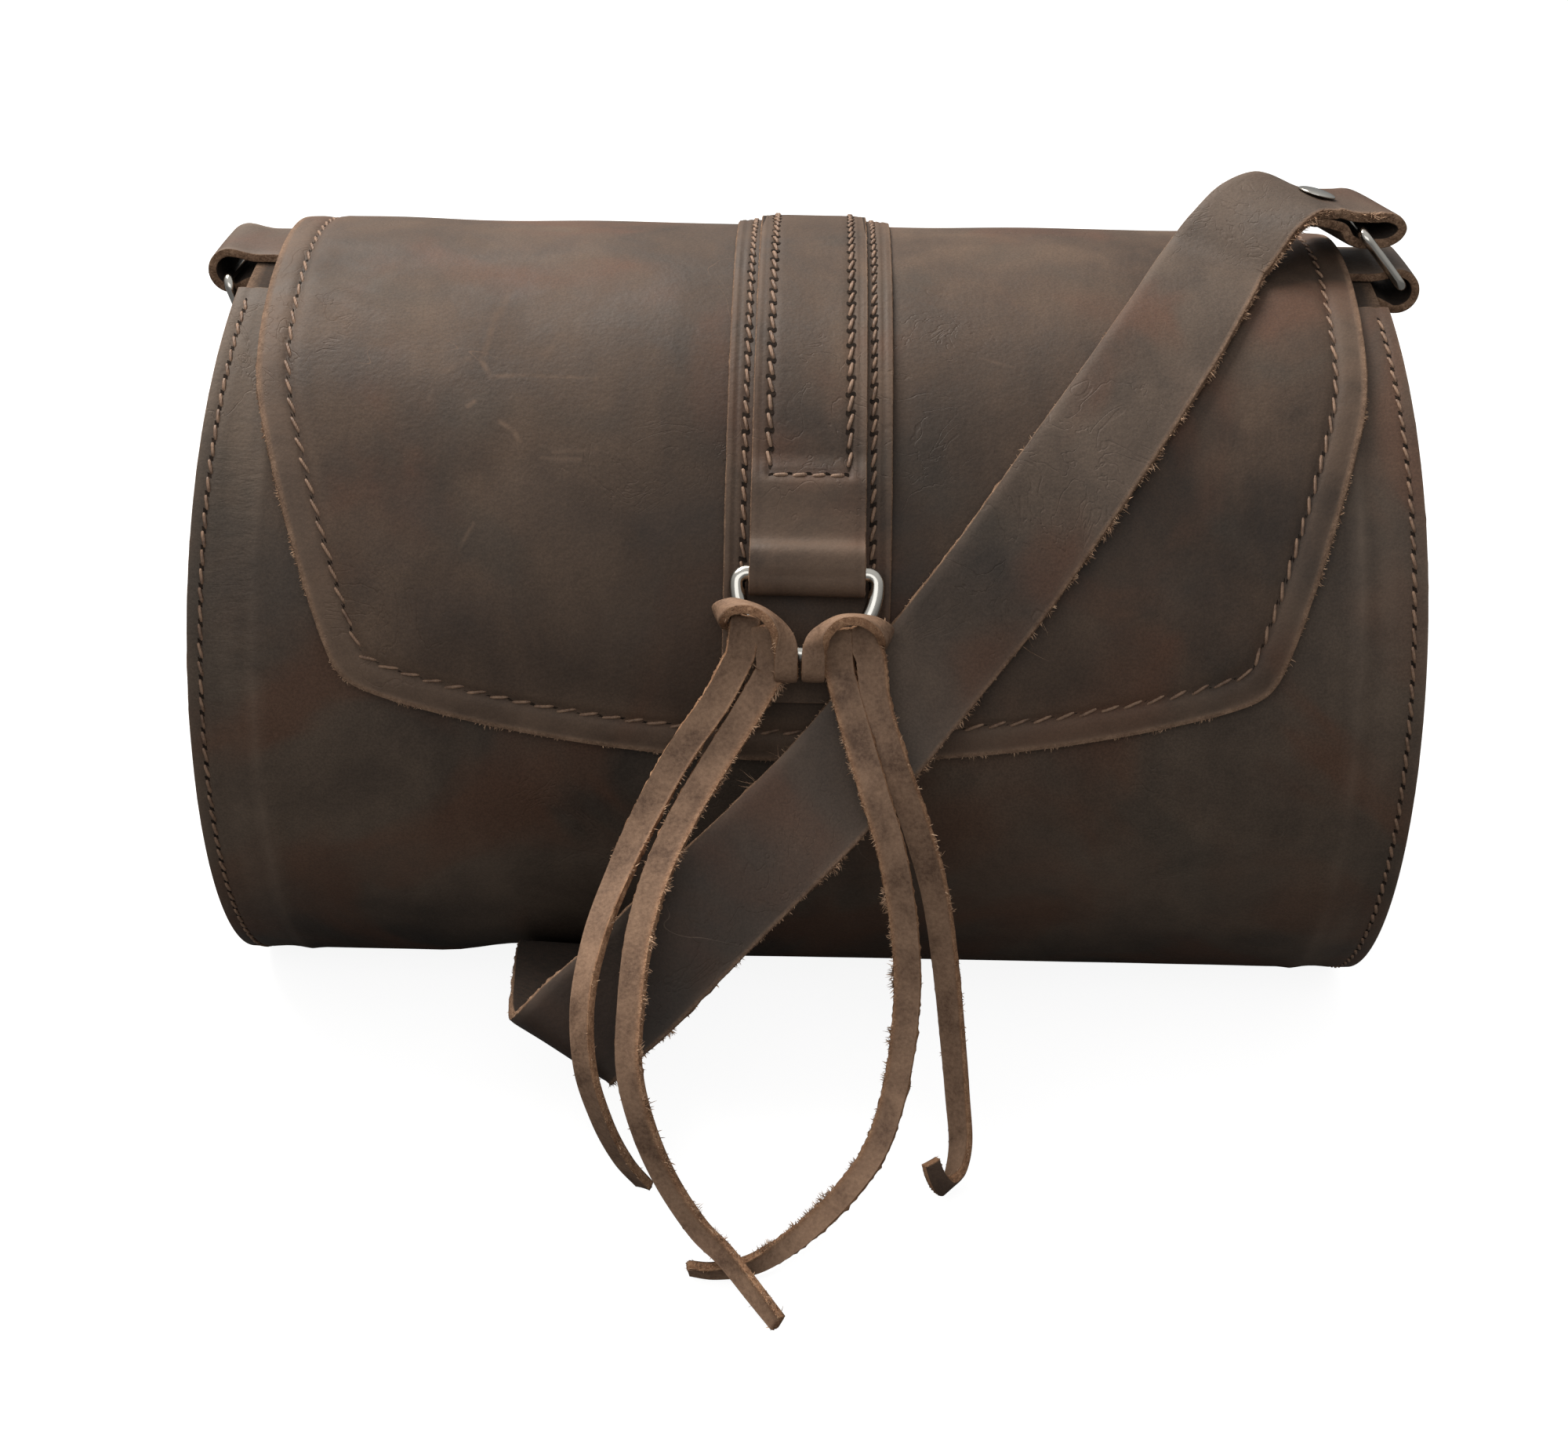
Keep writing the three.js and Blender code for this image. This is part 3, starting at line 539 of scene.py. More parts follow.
def scratch_group():
    """Nodes that give 1 on a line between two places of a surface and 0 away from it."""
    tree = bpy.data.node_groups.new("scratch", "ShaderNodeTree")
    for name in ("Place", "From", "To"):
        tree.interface.new_socket(name, in_out="INPUT", socket_type="NodeSocketVector")
    tree.interface.new_socket("Width", in_out="INPUT", socket_type="NodeSocketFloat")
    tree.interface.new_socket("Mark", in_out="OUTPUT", socket_type="NodeSocketFloat")
    given = tree.nodes.new("NodeGroupInput").outputs
    result = tree.nodes.new("NodeGroupOutput").inputs

    def vector(operation, a, b, out=0):
        made = tree.nodes.new("ShaderNodeVectorMath")
        made.operation = operation
        tree.links.new(a, made.inputs[0])
        tree.links.new(b, made.inputs["Scale" if operation == "SCALE" else 1])
        return made.outputs[out]

    away = vector("SUBTRACT", given["Place"], given["From"])
    line = vector("SUBTRACT", given["To"], given["From"])
    share = tree.nodes.new("ShaderNodeMath")
    share.operation = "DIVIDE"
    share.use_clamp = True
    tree.links.new(vector("DOT_PRODUCT", away, line, "Value"), share.inputs[0])
    tree.links.new(vector("DOT_PRODUCT", line, line, "Value"), share.inputs[1])
    nearest = vector("SCALE", line, share.outputs[0])
    distance = vector("DISTANCE", away, nearest, "Value")
    fade = tree.nodes.new("ShaderNodeMapRange")
    fade.interpolation_type = SMOOTH
    fade.inputs["To Min"].default_value = 1
    fade.inputs["To Max"].default_value = 0
    tree.links.new(distance, fade.inputs["Value"])
    tree.links.new(given["Width"], fade.inputs["From Max"])
    tree.links.new(fade.outputs[0], result["Mark"])
    return tree


SCRATCH = scratch_group()

# Colours, as linear red, green and blue. Tones are dark, middle and light.
FLAP_TONES = ((0.0290, 0.0194, 0.0138), (0.0660, 0.0420, 0.0284), (0.116, 0.075, 0.050))
BODY_TONES = ((0.0330, 0.0250, 0.0195), (0.0680, 0.0485, 0.0355), (0.112, 0.079, 0.056))
STRAP_TONES = ((0.0300, 0.0228, 0.0180), (0.0680, 0.0480, 0.0355), (0.115, 0.082, 0.060))
CUT_TONES = ((0.085, 0.045, 0.027), (0.205, 0.122, 0.074), (0.380, 0.240, 0.155))
LACE_TONES = ((0.105, 0.060, 0.038), (0.210, 0.128, 0.082), (0.310, 0.195, 0.126))
LACE_CUT_TONES = ((0.160, 0.080, 0.042), (0.330, 0.175, 0.095), (0.560, 0.340, 0.200))
RED_BROWN = (0.098, 0.044, 0.025)
GREEN_GREY = (0.047, 0.0395, 0.031)
FLESH_BROWN = (0.050, 0.033, 0.024)
FIBRE_PALE = (0.640, 0.430, 0.280)
THREAD_LIGHT = (0.270, 0.165, 0.105)
THREAD_DARK = (0.120, 0.068, 0.042)
NICKEL = (0.66, 0.64, 0.59)
NICKEL_DULL = (0.44, 0.42, 0.38)
# Dark discs at the stitches' ends: painted shade of the stitch holes.
HOLE_SHADE = (0.008, 0.006, 0.005)
HOLE_SHADE_BROWN = FLAP_TONES[0]

# Where the three tones lie on a noise, how dark the darkening (on the strap painted shade and oil) makes the
# dark tone, how pale wear and painted highlights make the light one, and how strongly scratches show.
TONE_STOPS = (0.36, 0.5, 0.66)
DARKENING_DEPTH = 0.75
PALE_TINT = (1.85, 1.9, 2.0)
SCRATCH_SEEN = 0.85

# Noise scales of leather, in waves over a metre
BLOTCH = 13.0
CLOUD = 46.0
RUB = 150.0
RED_PATCH = 17.0
GREEN_PATCH = 21.0
SPECK = 1900.0
HAIR_LINES = 7.0
FEW_LINES = 30.0
BREAKS = 260.0
NAP = 700.0
PORES = 620.0
PEBBLE = 1150.0
CREASES = 58.0
FEW_CREASES = 19.0
FUZZ = 1500.0
CUT_FIBRES = 1400.0


def tones_on(s, value, tones):
    return s.ramp(value, *zip(TONE_STOPS, tones))


def cut_edge_colour(s, tones=CUT_TONES):
    strands = s.noise(CUT_FIBRES, 5.0, 0.7, 1.0)
    return tones_on(s, s.blend((strands, 0.65), (s.noise(BREAKS, 3.0), 0.35)), tones)


def stained_colour(s, place, seed, tones, blotch, cloud):
    """Blotches and clouds, reddish and greenish places, fine specks, and a darker tone where the darkening
    numbers are: painted shade and oil on the strap's lower front, a darker lower middle on the flap.
    """
    rub = s.noise(RUB, 4.0, 0.6, 0.0, s.moved(scale=(1, 0.35, 0.35), of=place))
    colour = tones_on(s, s.blend((blotch, 0.55), (cloud, 0.3), (rub, 0.15)), tones)
    red = s.noise(RED_PATCH, 3.0, 0.5, 1.2, s.moved((seed + 3.1, 0.4, 1.7)))
    colour = s.mix(s.fit(red, 0.47, 0.66, 0.0, 0.6), colour, (*RED_BROWN, 1))
    green = s.noise(GREEN_PATCH, 3.0, 0.5, 0.9, s.moved((seed + 7.7, 2.2, 0.3)))
    colour = s.mix(s.fit(green, 0.54, 0.72, 0.0, 0.4), colour, (*GREEN_GREY, 1))
    shade = s.fit(s.noise(SPECK, 3.0, 0.7, 0.0, place), 0.32, 0.68, 0.84, 1.16)
    specks = s.node("ShaderNodeCombineColor", {0: shade, 1: shade, 2: shade}).outputs[0]
    colour = s.mix(1.0, colour, specks, "MULTIPLY")
    # Darkening: on the strap painted shade and oil, on the flap a darker lower middle.
    darkened_share = s.times(s.value("darkening"), s.fit(blotch, 0.35, 0.6, 0.7, 1.1))
    return s.mix(darkened_share, colour, (*(part * DARKENING_DEPTH for part in tones[0]), 1))


def scratch_marks(s, place, seed, scratches):
    """Hair lines here and there, and the scratches that have their own places."""
    hair = s.noise(HAIR_LINES, 2.0, 0.5, 3.5, s.moved((seed * 2 + 1.3, 5.0, 2.0)))
    thin = s.fit(s.off_middle(hair), 0.0, 0.0011, 1.0, 0.0)
    few = s.fit(s.noise(FEW_LINES, 2.0, 0.5, 0.0, s.moved((seed + 11.0, 0, 0))), 0.56, 0.66)
    marks = s.times(s.times(thin, few), 0.4)
    for start, end, width, strength in scratches:
        group = s.node("ShaderNodeGroup", node_tree=SCRATCH)
        s.put(group, "Place", s.node("ShaderNodeUVMap", uv_map="surface").outputs[0])
        s.put(group, "From", (start[0] * MM, start[1] * MM, 0))
        s.put(group, "To", (end[0] * MM, end[1] * MM, 0))
        s.put(group, "Width", width * MM)
        broken = s.fit(s.noise(BREAKS, 3.0, 0.6, 0.0, place), 0.35, 0.6, 0.25, 1.0)
        mark = s.times(s.times(group.outputs[0], broken), strength * SCRATCH_SEEN)
        marks = s.most(marks, mark)
    return marks


def leather_normal(s, place, seed, raw, flesh, ripples):
    """Pores, a pebbled grain, a few creases, and fuzz on raw edges and the inside."""
    normal = s.bump(s.noise(PORES, 4.0, 0.6, 0.0, place), 0.32, 0.35)
    normal = s.bump(s.cells(PEBBLE, "SMOOTH_F1", place), 0.14, 0.25, normal)
    creases = s.fit(s.off_middle(s.noise(CREASES, 3.0, 0.6, 1.5, place)), 0.0, 0.018)
    few = s.fit(s.noise(FEW_CREASES, 2.0, 0.5, 0.0, s.moved((seed + 5.0, 1.0, 0))), 0.52, 0.64)
    normal = s.bump(s.times(s.math("SUBTRACT", creases, 1.0), few), 0.3, 0.3, normal)
    if ripples:
        normal = s.bump(ripples(s), 0.5, 0.5, normal)
    fuzzy = s.times(s.noise(FUZZ, 4.0, 0.75), s.most(raw, s.times(flesh, 0.6)))
    return s.bump(fuzzy, 0.7, 0.5, normal)


def leather(name, tones, seed, paling_strength, scratches=(), ripples=None):
    """Oiled leather: paler where it is worn or scratched and where a highlight is painted, with raw edges and
    a napped inside.
    """
    s = Shader(name)
    dark, _, light = tones
    place = s.moved((seed, seed * 0.7, -seed))
    blotch = s.noise(BLOTCH, 3.0, 0.5, 0.8, place)
    cloud = s.noise(CLOUD, 5.0, 0.62, 0.5, place)
    colour = stained_colour(s, place, seed, tones, blotch, cloud)
    # The wear numbers also hold painted highlights: a pale band over the flap's top and the tab's loose
    # stretch.
    wear_and_highlight = s.times(s.value("wear_and_highlight"), s.fit(cloud, 0.3, 0.62, 0.45, 1.1))
    marks = scratch_marks(s, place, seed, scratches)
    pale = (*(part * more for part, more in zip(light, PALE_TINT)), 1)
    colour = s.mix(s.most(s.times(wear_and_highlight, paling_strength), marks), colour, pale)
    raw, flesh = s.value("raw"), s.value("flesh")
    nap = s.ramp(s.noise(NAP, 4.0, 0.7), (0.35, dark), (0.65, FLESH_BROWN))
    colour = s.mix(raw, s.mix(flesh, colour, nap), cut_edge_colour(s))
    dull = s.most(s.most(raw, flesh), marks)
    roughness = s.math("ADD", s.fit(cloud, 0.35, 0.65, 0.56, 0.68), s.times(dull, 0.3))
    normal = leather_normal(s, place, seed, raw, flesh, ripples)
    s.set(base_color=colour, roughness=roughness, normal=normal, specular_IOR_level=0.24)
    return s.material


# Scratches on the flap: from and to as x and the arc above the flap's lower edge, width, strength.
FLAP_SCRATCHES = (
    ((-69.7, 115.7), (-72.3, 104.5), 1.7, 0.22),
    ((-72.3, 104.5), (-73.9, 92.4), 1.4, 0.3),
    ((-73.9, 92.4), (-71.8, 88.1), 1.1, 0.45),
    ((-71.8, 88.1), (-66.3, 88.7), 1.1, 0.4),
    ((-66.3, 88.7), (-48.1, 88.2), 0.9, 0.25),
    ((-61.2, 92.1), (-56.5, 100.6), 1.8, 0.18),
    ((-76.2, 80.3), (-75.0, 81.4), 1.0, 0.5),
    ((-69.0, 76.5), (-65.7, 74.5), 1.0, 0.42),
    ((-65.7, 74.5), (-64.2, 71.6), 0.9, 0.42),
    ((-73.7, 52.6), (-76.3, 47.3), 0.8, 0.42),
    ((-82.1, 89.4), (-77.2, 93.0), 1.5, 0.2),
    ((-84.4, 45.8), (-82.4, 46.7), 1.2, 0.3),
    ((-59.3, 68.0), (-50.6, 67.8), 0.8, 0.25),
    ((-56.8, 69.5), (-47.3, 70.3), 0.8, 0.25),
    ((38.0, 96.0), (45.0, 93.5), 0.7, 0.2),
)


def left_ripples(s):
    """Short wrinkles across the left rim, between its seam and the disc."""
    lines = s.noise(1.0, 3.0, 0.6, 0.6, s.moved(scale=(150, 520, 520)))
    x, _, z = s.node("ShaderNodeSeparateXYZ", {0: s.place}).outputs
    beside = s.times(s.fit(x, -0.134, -0.131), s.fit(x, -0.123, -0.119, 1.0, 0.0))
    high = s.times(s.fit(z, 0.07, 0.1), s.fit(z, 0.14, 0.155, 1.0, 0.0))
    return s.times(lines, s.times(beside, high))


def lace_leather(name):
    s = Shader(name)
    along = s.noise(95.0, 4.0, 0.6, 0.4)
    colour = tones_on(s, s.blend((along, 0.6), (s.noise(1300.0, 4.0, 0.7), 0.4)), LACE_TONES)
    colour = s.mix(s.times(s.value("wear_and_highlight"), 0.35), colour, (*LACE_TONES[2], 1))
    raw, flesh = s.value("raw"), s.value("flesh")
    colour = s.mix(s.times(flesh, 0.75), colour, (*FLESH_BROWN, 1))
    colour = s.mix(s.times(raw, 0.9), colour, cut_edge_colour(s, LACE_CUT_TONES))
    normal = s.bump(s.noise(800.0, 5.0, 0.65), 0.4, 0.4)
    fuzzy = s.times(s.noise(FUZZ, 4.0, 0.75), s.most(raw, flesh))
    normal = s.bump(fuzzy, 0.8, 0.6, normal)
    roughness = s.fit(along, 0.3, 0.7, 0.58, 0.74)
    s.set(base_color=colour, roughness=roughness, normal=normal, specular_IOR_level=0.2)
    return s.material


def fibre_material():
    s = Shader("cut_fibres")
    stops = zip((0.35, 0.5, 0.65), (*CUT_TONES[1:], FIBRE_PALE))
    roughness = s.fit(s.noise(900.0), 0.3, 0.7, 0.75, 0.9)
    s.set(base_color=s.ramp(s.noise(300.0, 3.0, 0.7), *stops), roughness=roughness, specular_IOR_level=0.2)
    return s.material


def thread_material():
    s = Shader("waxed_thread")
    tone = s.noise(420.0, 4.0, 0.7)
    colour = s.ramp(tone, (0.36, THREAD_DARK), (0.6, THREAD_LIGHT))
    twist = s.node("ShaderNodeTexWave", {"Vector": s.place, "Scale": 900.0, "Distortion": 2.0})
    normal = s.bump(twist.outputs["Fac"], 0.35, 0.15)
    s.set(base_color=colour, roughness=s.fit(tone, 0.3, 0.7, 0.5, 0.68), normal=normal)
    return s.material


# The dark discs at the stitches' ends, painted shade of the holes.
def hole_shade_material():
    s = Shader("stitch_hole_shade")
    colour = s.ramp(s.noise(900.0, 3.0), (0.3, HOLE_SHADE), (0.7, HOLE_SHADE_BROWN))
    roughness = s.fit(s.noise(500.0), 0.3, 0.7, 0.8, 0.95)
    s.set(base_color=colour, roughness=roughness, specular_IOR_level=0.1)
    return s.material


def nickel_material():
    s = Shader("polished_nickel")
    smear = s.noise(160.0, 5.0, 0.6, 0.3)
    colour = s.ramp(s.noise(60.0, 4.0), (0.3, NICKEL_DULL), (0.7, NICKEL))
    fine = s.noise(1.0, 4.0, 0.6, 0.0, s.moved(scale=(700, 700, 2600)))
    s.set(base_color=colour, metallic=1.0, roughness=s.fit(smear, 0.3, 0.7, 0.1, 0.24))
    s.set(normal=s.bump(fine, 0.08, 0.05))
    return s.material


BAG_LEATHER = leather("bag_leather", BODY_TONES, 0.0, 0.42, ripples=left_ripples)
FLAP_LEATHER = leather("flap_leather", FLAP_TONES, 1.9, 0.45, FLAP_SCRATCHES)
STRAP_LEATHER = leather("strap_leather", STRAP_TONES, 4.3, 0.45)
LACE_LEATHER = lace_leather("lace_leather")
FIBRES = fibre_material()
THREAD = thread_material()
HOLE_SHADES = hole_shade_material()
METAL = nickel_material()


# The camera

def camera_axes():
    """The camera's place and its right, up and backward directions."""
    tilt, roll = rad(CAMERA_TILT), rad(CAMERA_ROLL)
    back = vec(0, -math.cos(tilt), math.sin(tilt))
    place = vec(0, 0, CAMERA_AXIS_HEIGHT) + CAMERA_DISTANCE * back
    level = vec(1, 0, 0)
    upright = np.cross(back, level)
    right = math.cos(roll) * level + math.sin(roll) * upright
    up = -math.sin(roll) * level + math.cos(roll) * upright
    off = vec(*MIDDLE_AT) - vec(*PICTURE) / 2
    backward = unit(back * CAMERA_FOCUS + right * off[0] - up * off[1])
    right = unit(right - backward * (right @ backward))
    return place, right, np.cross(backward, right), backward


def add_camera():
    place, right, up, backward = camera_axes()
    data = bpy.data.cameras.new("camera")
    data.sensor_fit = "HORIZONTAL"
    data.sensor_width = SENSOR
    data.lens = CAMERA_FOCUS / PICTURE[0] * SENSOR
    camera = bpy.data.objects.new("camera", data)
    matrix = Matrix.Identity(4)
    for column, axis in enumerate((right, up, backward, place * MM)):
        for row in range(3):
            matrix[row][column] = float(axis[row])
    camera.matrix_world = matrix
    bpy.context.scene.collection.objects.link(camera)
    bpy.context.scene.camera = camera


add_camera()


# Loose fibres on a cut edge

FIBRE_WIDTH = 0.26
FIBRE_SPREAD = 0.6
FIBRE_ROOT = 0.25
FIBRE_BEND = 0.35
FIBRE_CLUMP = 8.0
OFF_FLOOR = 0.1
# A fibre's places along it and its width there, as shares.
FIBRE_SHAPE = ((0, 1.0), (0.4, 0.85), (0.75, 0.6), (1, 0.12))

def fibre_blade(chance, root, out, side, clump, length, width, spread):
    """The points of one fibre, in pairs from its root to its tip."""
    tangent = np.cross(out, side)
    reach = chance.uniform(*length) * (0.7 + 0.6 * max(clump, -0.5))
    aim = unit(out + tangent * chance.normal(scale=0.7) + side * chance.normal(0.25, 0.35))
    bend = unit(chance.normal(size=3)) * reach * FIBRE_BEND
    start = root + side * chance.uniform(-spread, spread + 0.2) - out * FIBRE_ROOT
    flat = unit(np.cross(aim, chance.normal(size=3)))
    thick = width * chance.uniform(0.6, 1.5)
    blade = []
    for share, wide in FIBRE_SHAPE:
        middle = start + aim * reach * share + bend * share**2
        blade += [middle + flat * thick * wide / 2, middle - flat * thick * wide / 2]
    return blade


def fibres(name, roots, outs, sides, slot, per_mm, length, width=FIBRE_WIDTH, spread=FIBRE_SPREAD, seed=1):
    """Short curved fibres that stand out of an edge: each a narrow tapering blade."""
    chance = np.random.RandomState(seed)
    along = lengths_along(roots)
    places = np.sort(chance.uniform(0, along[-1], int(along[-1] * per_mm)))
    clumps = waves(np.stack([places, places * 0, places * 0], 1), FIBRE_CLUMP, seed + 5)
    points, faces = [], []
    for place, clump in zip(places, clumps):
        if chance.uniform() > 0.72 + 0.6 * clump:
            continue
        root, out, side = (
            vec(*(np.interp(place, along, line[:, k]) for k in range(3)))
            for line in (roots, outs, sides)
        )
        first = len(points)
        points += fibre_blade(chance, root, unit(out), unit(side), clump, length, width, spread)
        for here in range(first, len(points) - 2, 2):
            faces.append((here, here + 1, here + 3, here + 2))
    points = np.array(points)
    points[:, 2] = np.maximum(points[:, 2], OFF_FLOOR)
    return piece(name, points, faces, FIBRES, slot)


def edge_fibres(name, outer, inner, column, slot, rows=slice(None), **settings):
    """Fibres along one side of a strip's grids: column 0 or -1."""
    inside = 1 if column == 0 else -2
    middle = (outer[rows, column] + inner[rows, column]) / 2
    outs = unit(outer[rows, column] - outer[rows, inside])
    sides = unit(outer[rows, column] - inner[rows, column])
    return fibres(name, middle, outs, sides, slot, **settings)


# Laces

# The plane of the flap ring: across, down from its bar, and out of it.
RING_OUT = outwards_at(RING_ANGLE + RING_LEAN)
RING_ACROSS = vec(1, 0, 0)
RING_DOWN = np.cross(RING_ACROSS, RING_OUT)
RING_ORIGIN = on_barrel(0, RING_ANGLE, RING_RADIUS)


def in_ring_plane(u, v, w):
    return RING_ORIGIN + RING_ACROSS * u + RING_DOWN * v + RING_OUT * w


# The laces' chosen routes: x, forward from the barrel's front, height over the floor.
# `across` is the direction across the lace at its start, middle and end, and `under` is where
# it comes out under its knot, in the ring's plane.
LACES = {
    "lace_left_outer": {
        "under": (-13.2, 9.6, 3.3),
        "across": [(-0.8, 0, 0.6), (-1, 0, 0), (-0.65, -0.6, -0.45)],
        "route": [
            (-14.4, 9, 112.2), (-19, 14.5, 104.5), (-26.8, 21.5, 94.5), (-33.2, 28.5, 84), (-38.6, 37.5, 74),
            (-43, 49, 64.5), (-45, 60, 54), (-44, 66, 43), (-41, 65, 30), (-37, 58, 15), (-33, 52, 5),
        ],
    },
    "lace_left_inner": {
        "under": (-8.6, 11.6, 3.3),
        "across": [(-0.8, 0, 0.6), (-0.95, 0, -0.3), (-0.75, -0.65, 0)],
        "route": [
            (-7.6, 9.4, 108.8), (-12.5, 14.5, 101.5), (-19, 21, 92.5), (-26, 31, 83), (-31, 41, 74),
            (-34, 50, 64), (-35, 59, 53.5), (-35, 66, 44), (-32, 70, 32), (-27, 72, 20), (-20, 76, 10.6),
            (-14, 82, 8.1), (-8, 89, 4.4), (-3, 95, 1.7),
        ],
    },
    "lace_right_inner": {
        "under": (6.5, 12.2, 3.8),
        "across": [(-0.93, 0, -0.36), (-0.93, 0, 0.35), (0, -0.9, 0.4)],
        "route": [
            (7.6, 9.4, 108.8), (10.6, 15, 100), (14.7, 22, 88.6), (19, 26.5, 76), (22, 29.5, 62),
            (23.6, 33, 46), (23, 37, 34), (21, 42, 22), (17, 49, 12.5), (10, 58, 7), (1, 69, 4.4),
            (-9, 78, 3.5), (-17, 79.5, 2.8), (-22, 78.5, 2.6),
        ],
    },
    "lace_right_outer": {
        "under": (10.9, 11.4, 3.8),
        "across": [(-0.93, 0, -0.36), (-0.97, 0, -0.1), (-0.93, 0, -0.37)],
        "route": [
            (14.2, 9, 112.2), (15.6, 13.5, 103.5), (19.8, 19.5, 92), (24.6, 22, 79), (29, 25, 65),
            (31.6, 27, 51), (33.6, 31, 36), (35.4, 36, 20), (36.3, 41, 9), (35, 45, 4.3), (32.8, 49, 4),
            (30.8, 50.5, 7), (29.3, 50, 11),
        ],
    },
}
LACE_STATIONS = 12
LACE_START_POINTS = 6
LACE_CROWN = 0.12
LACE_UNEVEN = 0.1
LACE_SLOT = "lace_leather"
# How much of its width each lace keeps from its start to its end, and how far it is turned on
# itself, in degrees.
LACE_KEPT = (0.9, 0.84, 0.72, 0.52)
LACE_TURNS = {
    "lace_left_outer": (0, 5, 25, 48, 72),
    "lace_left_inner": (20, 0, 8, 38, 75),
    "lace_right_inner": (0, 0, 18, 42, 35),
    "lace_right_outer": (0, 5, 25, 38, 30),
}
# The side of each lace whose cut edge is fluffier, and its fibres on a millimetre.
FLUFFY_SIDE = {
    "lace_left_outer": (0, 3.0),
    "lace_left_inner": (0, 13.0),
    "lace_right_inner": (-1, 13.0),
    "lace_right_outer": (0, 3.0),
}


def add_lace(name, lace, seed):
    keys = np.array([(x, -RADIUS - forward, height) for x, forward, height in lace["route"]], float)
    count = LACE_STATIONS * len(keys)
    points = spline(keys, count)
    sides = spline(lace["across"], count)
    from_knot = [in_ring_plane(*lace["under"]), keys[0], points[LACE_STATIONS]]
    start = spline(from_knot, 2 * LACE_START_POINTS + 1)[:LACE_START_POINTS]
    points = np.vstack([start, points])
    sides = np.vstack([np.tile(sides[0], (len(start), 1)), sides])
    share = np.linspace(0, 1, len(points))
    turns = rad(np.interp(share, np.linspace(0, 1, 5), LACE_TURNS[name]))[:, None]
    along = directions(points)
    sides = squared(sides, along)
    sides = sides * np.cos(turns) + np.cross(along, sides) * np.sin(turns)
    width = LACE_WIDTH * np.interp(share, np.linspace(0, 1, len(LACE_KEPT)), LACE_KEPT)
    outer, inner, up = strip_faces(
        points, sides, width[:, None, None], LACE_WALL, LACE_CROWN, LACE_UNEVEN, seed
    )
    if up[len(up) // 3] @ vec(0, -1, 0.3) < 0:
        outer, inner = inner, outer
    column, per_mm = FLUFFY_SIDE[name]
    made = wall_piece(
        name + "_leather", outer, inner, LACE_LEATHER, LACE_SLOT, edge_wear(len(points), 0.8),
        strip_uv(points), 0.3, seed, rim_of(len(points), column, 0.03 + 0.008 * per_mm, 0.95),
    )
    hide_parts(name)
    fuzz = edge_fibres(
        name + "_fibres", outer, inner, column, LACE_SLOT,
        per_mm=per_mm, length=(0.5, 1.7), spread=0.9, seed=seed,
    )
    other = edge_fibres(
        name + "_few_fibres", outer, inner, -1 - column, LACE_SLOT,
        per_mm=1.5, length=(0.3, 0.9), seed=seed + 1,
    )


for number, (lace_name, lace) in enumerate(LACES.items()):
    add_lace(lace_name, lace, 20 + 3 * number)

# The knots' bights, in the ring's plane: across, down, out, and the direction across the lace.
BIGHT_WIDTH = 4.9
BIGHT_POINTS = 110
LEFT_BIGHT = (
    ((-17.2, 9.8, -3.6), (-0.42, -0.9, 0)),
    ((-18.6, 9.4, -0.4), (-0.42, -0.9, 0)),
    ((-18.2, 8.9, 3.4), (-0.3, -0.65, -0.7)),
    ((-15.6, 8.0, 6.2), (-0.1, -0.4, -0.9)),
    ((-11.6, 8.4, 7.4), (0, -0.2, -0.98)),
    ((-8.2, 10.2, 7.7), (0.12, -0.22, -0.97)),
    ((-5.6, 13.2, 7.2), (0.5, -0.2, -0.84)),
    ((-4.4, 16.6, 6.0), (0.95, -0.1, -0.3)),
    ((-4.2, 19.8, 4.8), (1, 0, 0)),
    ((-4.2, 22.2, 2.6), (1, 0, 0)),
    ((-4.2, 22.4, -0.4), (1, 0, 0)),
    ((-4.3, 20.4, -3.0), (1, 0, 0)),
    ((-4.6, 16, -3.8), (1, 0, 0)),
)
RIGHT_BIGHT = (
    ((16.0, 14.2, -3.6), (-0.42, 0.9, 0)),
    ((17.2, 13.8, -0.4), (-0.42, 0.9, 0)),
    ((16.8, 12.9, 3.4), (-0.3, 0.65, 0.7)),
    ((14.3, 11.4, 6.2), (-0.1, 0.4, 0.9)),
    ((10.8, 10.5, 7.4), (0, 0.2, 0.98)),
    ((6.9, 11.0, 7.7), (0.12, 0.22, 0.97)),
    ((3.6, 13.5, 7.2), (0.5, 0.2, 0.84)),
    ((2.0, 16.4, 6.0), (0.95, 0.1, 0.3)),
    ((1.7, 19.6, 4.8), (1, 0, 0)),
    ((1.7, 22.0, 2.6), (1, 0, 0)),
    ((1.7, 22.2, -0.4), (1, 0, 0)),
    ((1.7, 20.2, -3.0), (1, 0, 0)),
    ((2.2, 16, -3.8), (1, 0, 0)),
)


def add_bight(name, keys, seed):
    points = spline([in_ring_plane(*at) for at, _ in keys], BIGHT_POINTS)
    turn = [RING_ACROSS * u + RING_DOWN * v + RING_OUT * w for _, (u, v, w) in keys]
    sides = spline(turn, BIGHT_POINTS)
    outer, inner, _ = strip_faces(points, sides, BIGHT_WIDTH, LACE_WALL, 0.18, 0.08, seed)
    made = wall_piece(
        name + "_bight", outer, inner, LACE_LEATHER, LACE_SLOT, edge_wear(len(points), 0.9),
        strip_uv(points), 0.2, seed,
    )
    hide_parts(name)
    edge_fibres(
        name + "_fibres", outer, inner, 0, LACE_SLOT, per_mm=4.0, length=(0.3, 0.9), seed=seed
    )
    edge_fibres(
        name + "_few_fibres", outer, inner, -1, LACE_SLOT, per_mm=2.0, length=(0.3, 0.8), seed=seed + 1
    )


add_bight("lace_left_knot", LEFT_BIGHT, 41)
add_bight("lace_right_knot", RIGHT_BIGHT, 45)


# Stitches

